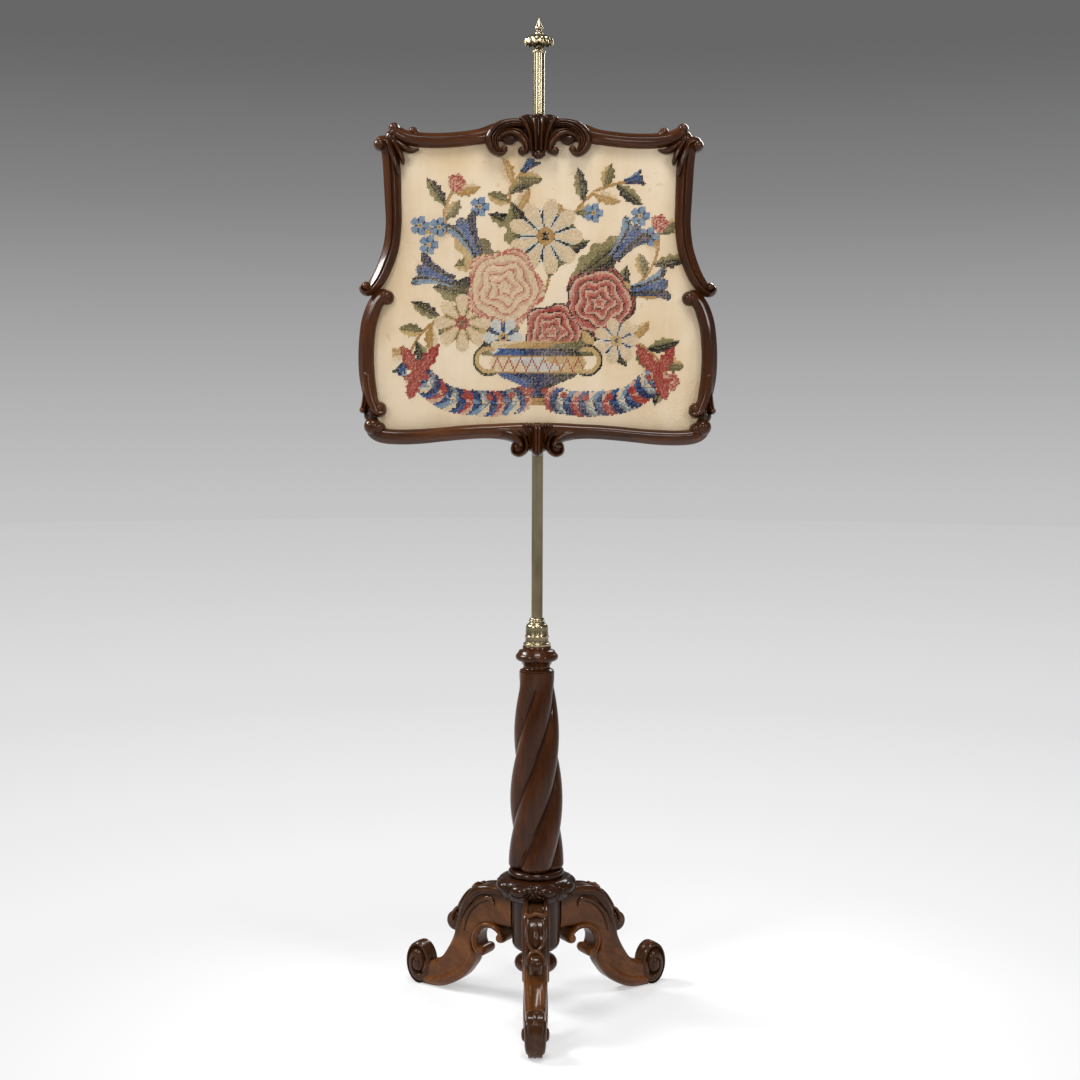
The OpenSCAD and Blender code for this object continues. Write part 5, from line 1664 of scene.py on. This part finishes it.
@dataclass
class Sampler:
    """A picture in stitches: one colour number for each place on the canvas, or -1 where it is bare.

    Attributes:
        x: Place of each stitch across.
        z: Place of each stitch up.
        dye: Colour number of each stitch.
        noise: A random number for each stitch, for broken edges.
    """

    x: Array
    z: Array
    dye: Array
    noise: Array

    def put(self, where: Array, dye: Dye) -> None:
        """Works the stitches in a mask in one colour."""
        self.dye[where] = list(Dye).index(dye)

    def shade(self, where: Array, depth: Array, dyes: Sequence[Dye]) -> None:
        """Works a mask in several colours, from the first at depth 0 to the last at depth 1.

        Args:
            where: Mask of the stitches.
            depth: Depth of every stitch in the shading.
            dyes: The colours.
        """
        step = np.clip(((depth + 0.10 * (self.noise - 0.5)) * len(dyes)).astype(int), 0, len(dyes) - 1)
        numbers = np.array([list(Dye).index(d) for d in dyes])
        self.dye[where] = numbers[step[where]]

    def polar(self, x: float, z: float) -> tuple[Array, Array]:
        """Distance and angle of every stitch from a point."""
        return np.hypot(self.x - x, self.z - z), np.arctan2(self.z - z, self.x - x)

    def turned(self, x: float, z: float, turn: float) -> tuple[Array, Array]:
        """Distances of every stitch along a direction in degrees from a point, and to its left."""
        c, s = math.cos(math.radians(turn)), math.sin(math.radians(turn))
        return (self.x - x) * c + (self.z - z) * s, -(self.x - x) * s + (self.z - z) * c

    def leaf(self, x: float, z: float, turn: float, length: float, width: float,
             dyes: Sequence[Dye]) -> None:
        """A toothed leaf with a rib, whose half width is a sine of the way along it.

        Args:
            x: Place of its foot across.
            z: Place of its foot up.
            turn: Its direction in degrees.
            length: Its length.
            width: Its largest half width.
            dyes: Colours from one side to the other, the first also for the rib.
        """
        along, over = self.turned(x, z, turn)
        along = along / length
        half = width * np.sin(np.pi * np.clip(along, 0, 1)) ** 0.8 * (1 + 0.16 * np.sin(along * 26))
        inside = (along > 0) & (along < 1) & (np.abs(over) < half)
        self.shade(inside, np.clip(0.5 + 0.5 * over / np.maximum(half, 0.1), 0, 0.999), dyes)
        self.put(inside & (np.abs(over) < 1.1), dyes[0])

    def rose(self, x: float, z: float, size: float, dyes: Sequence[Dye], edge: Dye) -> None:
        """A rose: rings of petals with scalloped edges, a wave of the angle that turns on from ring to ring.

        Args:
            x: Place of its middle across.
            z: Place of its middle up.
            size: Its radius.
            dyes: Colours across a petal.
            edge: Colour of the petals' edges.
        """
        r, a = self.polar(x, z)
        r = r / (size * (0.92 + 0.08 * np.cos(5 * a + 0.4)))
        ring = r * (2.2 + size / 26) + 0.42 * np.abs(np.cos(2.5 * a + 4.0 * r))
        lip = ring - np.floor(ring)
        inside = r < 1
        self.shade(inside, np.clip(0.15 + 0.85 * lip, 0, 0.999), dyes)
        self.put(inside & ((lip < 0.13) | ((r > 0.93) & (self.noise < 0.6))), edge)

    def daisy(self, x: float, z: float, size: float, petals: int, dyes: Sequence[Dye], heart: Dye,
              edge: Dye) -> None:
        """An open flower: petals whose reach is a cosine of the angle, shaded along their middles.

        Args:
            x: Place of its middle across.
            z: Place of its middle up.
            size: Its radius.
            petals: Number of petals.
            dyes: Colours of a petal.
            heart: Colour of its middle.
            edge: Colour between the petals.
        """
        r, a = self.polar(x, z)
        lobe = np.abs(np.cos(petals * a / 2))
        inside = r < size * (0.52 + 0.48 * lobe**0.6)
        self.shade(inside, np.clip(0.2 + 0.55 * lobe + 0.3 * r / size, 0, 0.999), dyes)
        self.put(inside & (lobe < 0.26), edge)
        self.put(r < 0.24 * size, heart)
        self.put((r < 0.12 * size) & (self.noise < 0.6), edge)

    def stem(self, knots: Rows, width: float, dye: Dye) -> None:
        """A stalk along a spline: all stitches within half its width.

        Args:
            knots: Rows of x and z.
            width: Width of the stalk.
            dye: Its colour.
        """
        line = spline(knots, 24)
        near = np.min((self.x[:, None] - line[:, 0]) ** 2 + (self.z[:, None] - line[:, 1]) ** 2, axis=1)
        self.put(near < (width / 2) ** 2, dye)

    def bell(self, x: float, z: float, turn: float, size: float, dyes: Sequence[Dye], edge: Dye) -> None:
        """A bell flower from its stalk: a trumpet that flares to a three-pointed mouth.

        Args:
            x: Place of its foot across.
            z: Place of its foot up.
            turn: Its direction in degrees.
            size: Its length.
            dyes: Colours from one side to the other.
            edge: Colour of its ribs and its mouth.
        """
        along, over = (d / size for d in self.turned(x, z, turn))
        half = 0.16 + 0.36 * np.clip(along, 0, 1) ** 2.2
        mouth = 0.9 + 0.12 * np.abs(np.cos(np.pi * 1.5 * over / np.maximum(half, 0.05)))
        inside = (along > 0) & (along < mouth) & (np.abs(over) < half)
        self.shade(inside, np.clip(0.5 + 0.5 * over / half, 0, 0.999), dyes)
        self.put(inside & (np.abs(np.abs(over) - 0.5 * half) < 0.035), edge)
        self.put(inside & (along > 0.86) & (self.noise < 0.5), edge)


@dataclass
class Needlework:
    """Stretched canvas with a stitched bouquet in an urn over a laurel swag.

    Attributes:
        pitch: Distance between stitches.
        stitch_l: Length of a stitch.
        stitch_w: Width of a stitch.
        stitch_h: Height of a stitch over the canvas.
        seed: Seed of the uneven tension.
    """

    pitch: float = 2.0
    stitch_l: float = 3.2
    stitch_w: float = 2.0
    stitch_h: float = 0.8
    seed: int = 11

    def outline(self) -> Array:
        """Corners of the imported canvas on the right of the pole's axis, as x and z."""
        co = Piece.corners(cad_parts["needlework"].data) / MM
        return co[co[:, 0] >= 0][:, [0, 2]]

    def reach(self, z: Array) -> Array:
        """Half width of the canvas at some heights, between the corners of its outline.

        Args:
            z: The heights.

        Returns:
            The half widths.
        """
        edge = self.outline()
        edge = edge[np.argsort(edge[:, 1])]
        keep = edge[:, 0] > 0.6 * edge[:, 0].max()
        return np.interp(z, edge[keep, 1], edge[keep, 0])

    @property
    def front(self) -> float:
        """Place of the canvas's front face."""
        return (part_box("needlework")[0].y - POLE_Y) / MM

    def canvas(self) -> tuple[bpy.types.Object, dict]:
        """The cloth: a thin sheet over a grid of height and share across, a little uneven, closed behind.

        Returns:
            The new object, and the width, height and area that it was cut to.
        """
        edge = self.outline()
        low, high = edge[:, 1].min() + 0.02, edge[:, 1].max() - 0.02
        v = np.linspace(low, high, 180)[:, None]
        reach = self.reach(v)
        x = reach * np.linspace(-1, 1, 220)
        sway = 0.16 * np.sin(x / 41 + 1.3) * np.cos(v / 57) + 0.10 * np.sin(x / 17 + v / 23)
        face = np.stack([x, self.front + 0.07 + sway * 0.6, v + 0 * x], -1)
        shell = Shell.grid(np.concatenate([face, face[:, ::-1] + [0, 0.7, 0]], axis=1))
        cloth = Piece.make("canvas", [shell], "screen", Slot.CANVAS,
                           Canvas("aged_canvas").material(), "needlework")
        co = Piece.corners(cloth.data) / MM
        to_side = self.reach(co[:, 2]) - np.abs(co[:, 0])
        to_end = np.minimum(co[:, 2] - low, high - co[:, 2])
        # The border attribute rises towards the frame, where the canvas material paints grime and the
        # frame's shadow.
        Piece.attribute(cloth.data, "border", 1 - np.clip(np.minimum(to_side, to_end) / 60.0, 0, 1))
        cut = {"flat": (2 * float(reach.max()) * MM, float(high - low) * MM),
               "area": float(np.mean(reach[:-1] + reach[1:]) * (high - low)) * MM * MM}
        return cloth, cut

    def design(self) -> Sampler:
        """Works the picture from the back of the bouquet to its front.

        Returns:
            The picture.
        """
        x, z = (g.ravel()
                for g in np.meshgrid(np.arange(-200, 200.1, self.pitch), np.arange(836, 1204, self.pitch)))
        s = Sampler(x, z, np.full(len(x), -1), np.random.default_rng(self.seed).random(len(x)))
        self.sprays(s)
        self.bouquet(s)
        self.urn(s)
        self.swag(s)
        return s

    def sprays(self, s: Sampler) -> None:
        """Trailing stems with leaves, buds and small blue flowers on both sides.

        Args:
            s: The picture to work on.
        """
        stems = [[(-10, 1000), (-82, 1062), (-128, 1120), (-112, 1170)],
                 [(5, 1010), (40, 1110), (74, 1156), (118, 1172)],
                 [(20, 1000), (110, 1014), (158, 1060), (166, 1116)],
                 [(-30, 975), (-116, 990), (-158, 968), (-180, 930)],
                 [(40, 960), (124, 956), (160, 936), (184, 900)],
                 [(-5, 1020), (-26, 1110), (-40, 1156), (-22, 1184)]]
        for knots in stems:
            s.stem(knots, 4.4, Dye.OCHRE)
        for k, knots in enumerate(stems):
            line = spline(knots, 6)
            heads = np.degrees(np.arctan2(*np.gradient(line, axis=0).T[::-1]))
            for i in range(4, len(line) - 1, 2):
                sign = 1 if (i // 2) % 2 else -1
                s.leaf(*line[i], heads[i] + sign * 52, 34 + 6 * ((i + k) % 3), 9.0,
                       (GREEN, GOLD, DARK)[(i + k) % 3])
            if k % 2:
                s.bell(*line[-1], heads[-1], 26, BLUES, Dye.SOOT)
            else:
                s.rose(*line[-1], 13, REDS, Dye.BRICK)
        for px, pz in ((-150, 1086), (-136, 1110), (-162, 1112), (140, 1126), (152, 1098),
                       (76, 1130), (-80, 1138)):
            s.daisy(px, pz, 14, 5, BLUES, Dye.STRAW, Dye.NAVY)

    def bouquet(self, s: Sampler) -> None:
        """Leaves first, then the large flowers: roses, open flowers and bells.

        Args:
            s: The picture to work on.
        """
        for i, (turn, far) in enumerate(((8, 98), (38, 108), (72, 92), (104, 100), (138, 108), (170, 98),
                                         (196, 84), (342, 86), (318, 70), (222, 70))):
            a = math.radians(turn)
            s.leaf(0.5 * far * math.cos(a), 1004 + 0.45 * far * math.sin(a), turn, far, 20,
                   (GREEN, DARK)[i % 2])
        for px, pz, turn, size in ((-82, 1072, 118, 56), (-116, 1036, 160, 54), (104, 1068, 52, 56),
                                   (128, 1024, 12, 52)):
            s.bell(px, pz, turn, size, BLUES, Dye.SOOT)
        s.daisy(10, 1098, 52, 9, WHITES, Dye.OCHRE, Dye.SOOT)
        s.daisy(-104, 980, 40, 8, GOLD, Dye.BRICK, Dye.OLIVE)
        s.rose(84, 1008, 52, (Dye.BRICK, Dye.BRICK, Dye.ROSE, Dye.PINK), Dye.SOOT)
        s.rose(-46, 1028, 57, (Dye.OCHRE, Dye.PINK, Dye.CREAM, Dye.CREAM), Dye.ROSE)
        s.rose(20, 968, 42, (Dye.BRICK, Dye.BRICK, Dye.ROSE, Dye.PINK), Dye.SOOT)
        s.daisy(108, 956, 32, 7, WHITES, Dye.STRAW, Dye.NAVY)
        s.daisy(-48, 960, 27, 6, (Dye.NAVY, Dye.BLUE, Dye.PEARL), Dye.STRAW, Dye.NAVY)

    def urn(self, s: Sampler) -> None:
        """Footed urn with two handles: its half width is a spline of the height, and it is worked in bands.

        Args:
            s: The picture to work on.
        """
        body = spline([(868, 42), (874, 40), (880, 17), (887, 13), (895, 24), (907, 52), (923, 66),
                       (936, 61), (943, 53), (947, 64), (954, 64)], 8)
        half = np.interp(s.z, body[:, 0], body[:, 1], left=0, right=0)
        inside = np.abs(s.x) < half
        for side in (-1, 1):
            r, a = s.polar(side * 68, 929)
            s.put((np.abs(r - 17) < 4.0) & (side * np.cos(a) > -0.55), Dye.STRAW)
            s.put((np.abs(r - 20.5) < 1.4) & (side * np.cos(a) > -0.55), Dye.SOOT)
        light = np.clip(0.5 + 0.5 * s.x / np.maximum(half, 1) + 0.12 * np.sin(s.z / 3), 0, 0.999)
        s.shade(inside, light, (Dye.BLUE, Dye.NAVY, Dye.NAVY, Dye.SOOT))
        band = inside & (np.abs(s.z - 923) < 10)
        s.shade(band, light, (Dye.CREAM, Dye.PEARL, Dye.STRAW))
        zigzag = np.abs(np.mod(s.x / 16 + 0.5, 1) - 0.5) * 32 - 8 + 923
        s.put(band & (np.abs(s.z - zigzag) < 3.0), Dye.BRICK)
        s.put(inside & (np.abs(np.abs(s.z - 923) - 11.5) < 1.5), Dye.OCHRE)
        s.shade(inside & (s.z > 945), light, (Dye.CREAM, Dye.STRAW, Dye.OCHRE, Dye.OLIVE))
        s.shade(inside & (s.z < 877), light, (Dye.STRAW, Dye.OCHRE, Dye.OLIVE))

    def swag(self, s: Sampler) -> None:
        """Laurel swag: leaves in pairs along two hanging curves, berries, and a ribbon at each end.

        Args:
            s: The picture to work on.
        """
        for side in (-1, 1):
            line = spline([(side * 4, 880), (side * 56, 870), (side * 120, 876), (side * 164, 906)], 6)
            s.stem(line, 4.0, Dye.SOOT)
            heads = np.degrees(np.arctan2(*np.gradient(line, axis=0).T[::-1]))
            for i in range(1, len(line) - 1):
                tone = (BLUES, REDS, (Dye.NAVY, Dye.NAVY, Dye.BLUE), WHITES)[i % 4]
                for lean in (38, -38):
                    s.leaf(*line[i], heads[i] + lean, 27, 8.2, tone)
                if i % 3 == 1:
                    s.put(s.polar(line[i][0], line[i][1] + 8)[0] < 4.6, Dye.BRICK)
            for turn, length in ((125, 52), (62, 46), (-70, 36)):
                s.leaf(side * 166, 908, 90 + side * (turn - 90), length, 9.0,
                       (Dye.BRICK, Dye.ROSE, Dye.BRICK))
            s.put(s.polar(side * 166, 908)[0] < 8, Dye.BRICK)

    def stitches(self) -> bpy.types.Object:
        """Slanting tent stitches: each is a low ridge of eight corners over its place, with its own colour.

        Returns:
            The new object.
        """
        s = self.design()
        rng = np.random.default_rng(self.seed + 1)
        worked = s.dye >= 0
        x, z, dye = s.x[worked][:, None], s.z[worked][:, None], s.dye[worked]
        count = len(dye)
        l, w = self.stitch_l / 2, self.stitch_w / 2
        corners = np.array([[-l, 0, 0], [-0.55 * l, w, 0], [0.55 * l, w, 0], [l, 0, 0], [0.55 * l, -w, 0],
                            [-0.55 * l, -w, 0], [-0.5 * l, 0, 1], [0.5 * l, 0, 1]])
        slant = np.pi / 4 + rng.normal(0, 0.10, (count, 1))
        c, n = np.cos(slant), np.sin(slant)
        swell = rng.normal(1.0, 0.08, (count, 1))
        px = x + swell * (corners[:, 0] * c - corners[:, 1] * n) + rng.normal(0, 0.07, (count, 1))
        pz = z + swell * (corners[:, 0] * n + corners[:, 1] * c) + rng.normal(0, 0.07, (count, 1))
        py = self.front + 0.25 - (0.3 + self.stitch_h * rng.normal(1.0, 0.14, (count, 1))) * corners[:, 2]
        quads = np.array([[1, 6, 7, 2], [4, 7, 6, 5]])
        tris = np.array([[0, 6, 1], [2, 7, 3], [3, 7, 4], [5, 6, 0]])
        start = (np.arange(count) * 8)[:, None, None]
        mesh = bpy.data.meshes.new("wool_stitches")
        Piece.fill(mesh, np.stack([px, py, pz], -1).reshape(-1, 3), (quads + start).reshape(-1, 4),
                   (tris + start).reshape(-1, 3))
        colour = np.ones((count, 8, 4), np.float32)
        palette = np.array([d.value for d in Dye])
        colour[..., :3] = np.clip(palette[dye] * rng.normal(1.0, 0.09, (count, 1)), 0.004, 1)[:, None]
        mesh.attributes.new("wool", "FLOAT_COLOR", "POINT").data.foreach_set("color", colour.ravel())
        return Piece.put("wool_stitches", mesh, "screen", Slot.CANVAS, Wool("wool").material())

    def build(self) -> None:
        cloth, cut = self.canvas()
        self.stitches()


# The studio

@dataclass
class Studio:
    """Pale floor and surroundings, soft boxes and the camera of the photograph.

    Attributes:
        camera_at: Place of the camera in metres.
        tilt: Angle by which it looks down.
        roll: Angle by which it leans.
        lens: Focal length for a sensor of 36 mm.
        ambient: Strength of the even light from all round.
    """

    camera_at: tuple[float, float, float] = (0.0032, POLE_Y - 2.4, 0.878)
    tilt: float = 4.8
    roll: float = -0.2
    lens: float = 56.667
    ambient: float = 0.11

    def camera(self) -> None:
        """Adds the camera and makes it the scene's."""
        data = bpy.data.cameras.new("camera")
        data.lens = self.lens
        data.sensor_width = 36.0
        data.sensor_fit = "HORIZONTAL"
        data.clip_end = 60.0
        camera = bpy.data.objects.new("camera", data)
        camera.location = self.camera_at
        camera.rotation_euler = Euler((math.radians(90 - self.tilt), math.radians(self.roll), 0.0))
        bpy.context.scene.collection.objects.link(camera)
        bpy.context.scene.camera = camera

    def floor(self) -> None:
        """Round floor that is lit by the lamps near the object, with its shadow, and glows further out.

        The eye and mirrors see the glow, a grey that deepens with the distance from the pole.
        """
        shell = lathe([[0, 0], [400, 0], [1200, 0], [4000, 0], [10000, 0]], 96, caps=False)
        mesh = bpy.data.meshes.new("floor")
        mesh.from_pydata((shell.points * MM).tolist(), [], shell.quads.tolist())
        floor = bpy.data.objects.new("floor", mesh)
        bpy.context.scene.collection.objects.link(floor)
        s = Shader("studio_floor")
        far = (s.axis(0) * s.axis(0) + s.axis(1) * s.axis(1)).math("SQRT")
        grey = [(0.05, 0.95), (0.13, 0.86), (0.25, 0.75), (0.5, 0.66), (0.68, 0.617), (0.96, 0.58)]
        glow = s.node("ShaderNodeEmission", {}, {"Color": s.greys(far * 0.1, grey)})
        paper = s.node("ShaderNodeBsdfDiffuse", {}, {"Color": (0.93, 0.93, 0.93, 1.0)})
        share = s.seen() * (far.clamp(0.3, 1.0) * 0.55 + 0.45)
        s.node("ShaderNodeOutputMaterial", {},
               {"Surface": s.node("ShaderNodeMixShader", {}, {0: share, 1: paper, 2: glow})})
        mesh.materials.append(s.material)

    def world(self) -> None:
        """Even light from all round, which the eye and mirrors see as a grey that deepens upwards."""
        world = bpy.data.worlds.new("studio")
        world.use_nodes = True
        s = Shader.on(world.node_tree)
        height = s.node("ShaderNodeSeparateXYZ", {}, {0: s.node("ShaderNodeTexCoord")}, 2)
        grey = [(0.0, 0.58), (0.14, 0.552), (0.336, 0.445), (0.529, 0.337), (0.72, 0.231),
                (0.94, 0.15), (1.0, 0.135)]
        backdrop = s.greys((height + 0.1023) * 3.333, grey)
        colour = s.mix(s.seen(), (self.ambient, self.ambient, 1.03 * self.ambient), backdrop)
        s.node("ShaderNodeOutputWorld", {},
               {"Surface": s.node("ShaderNodeBackground", {}, {"Color": colour})})
        bpy.context.scene.world = world

    def soft_box(self, name: str, at: tuple, aim: tuple, size: tuple, watts: float,
                 spread: float = 180.0) -> None:
        """Adds one rectangular lamp that faces a point and sends its light within an angle.

        Args:
            name: Name of the lamp.
            at: Its place in metres.
            aim: Point that it faces.
            size: Its width and height in metres.
            watts: Its power.
            spread: Angle of its light in degrees.
        """
        data = bpy.data.lights.new(name, "AREA")
        data.shape = "RECTANGLE"
        data.size, data.size_y = size
        data.energy = watts
        data.spread = math.radians(spread)
        lamp = bpy.data.objects.new(name, data)
        lamp.location = at
        lamp.rotation_euler = (Vector(aim) - Vector(at)).to_track_quat("-Z", "Y").to_euler()
        bpy.context.scene.collection.objects.link(lamp)

    def light(self) -> None:
        """Key on the left, fill on the right, lamps above and by the camera, others behind and beside."""
        self.soft_box("key", (-1.8, -1.9, 2.1), (0, 0, 0.8), (0.5, 1.0), 31)
        self.soft_box("fill", (2.0, -1.7, 1.8), (0, 0, 0.7), (0.3, 1.0), 19)
        self.soft_box("top", (0.1, -0.8, 3.0), (0, 0.1, 0.4), (0.9, 0.6), 36)
        self.soft_box("front", (0.35, -2.7, 1.9), (0, 0, 0.9), (0.4, 0.4), 12)
        self.soft_box("back", (0.9, 2.3, 2.0), (0, 0, 0.9), (0.8, 0.8), 18)
        self.soft_box("left", (-1.9, 0.45, 2.3), (0, 0, 1.0), (0.9, 0.9), 11, 60)
        bpy.context.scene.view_settings.view_transform = "Standard"

    def build(self) -> None:
        """Adds everything that isn't part of the object."""
        self.camera()
        self.floor()
        self.world()
        self.light()


def main() -> None:
    """Builds the studio and every piece."""
    logging.basicConfig(level=logging.INFO, format="%(name)s: %(message)s")
    for part in (Studio(), Stand(), Metal(), Carving(), Needlework(), Clamp()):
        part.build()
    Back.dress()


if __name__ == "__main__":
    main()
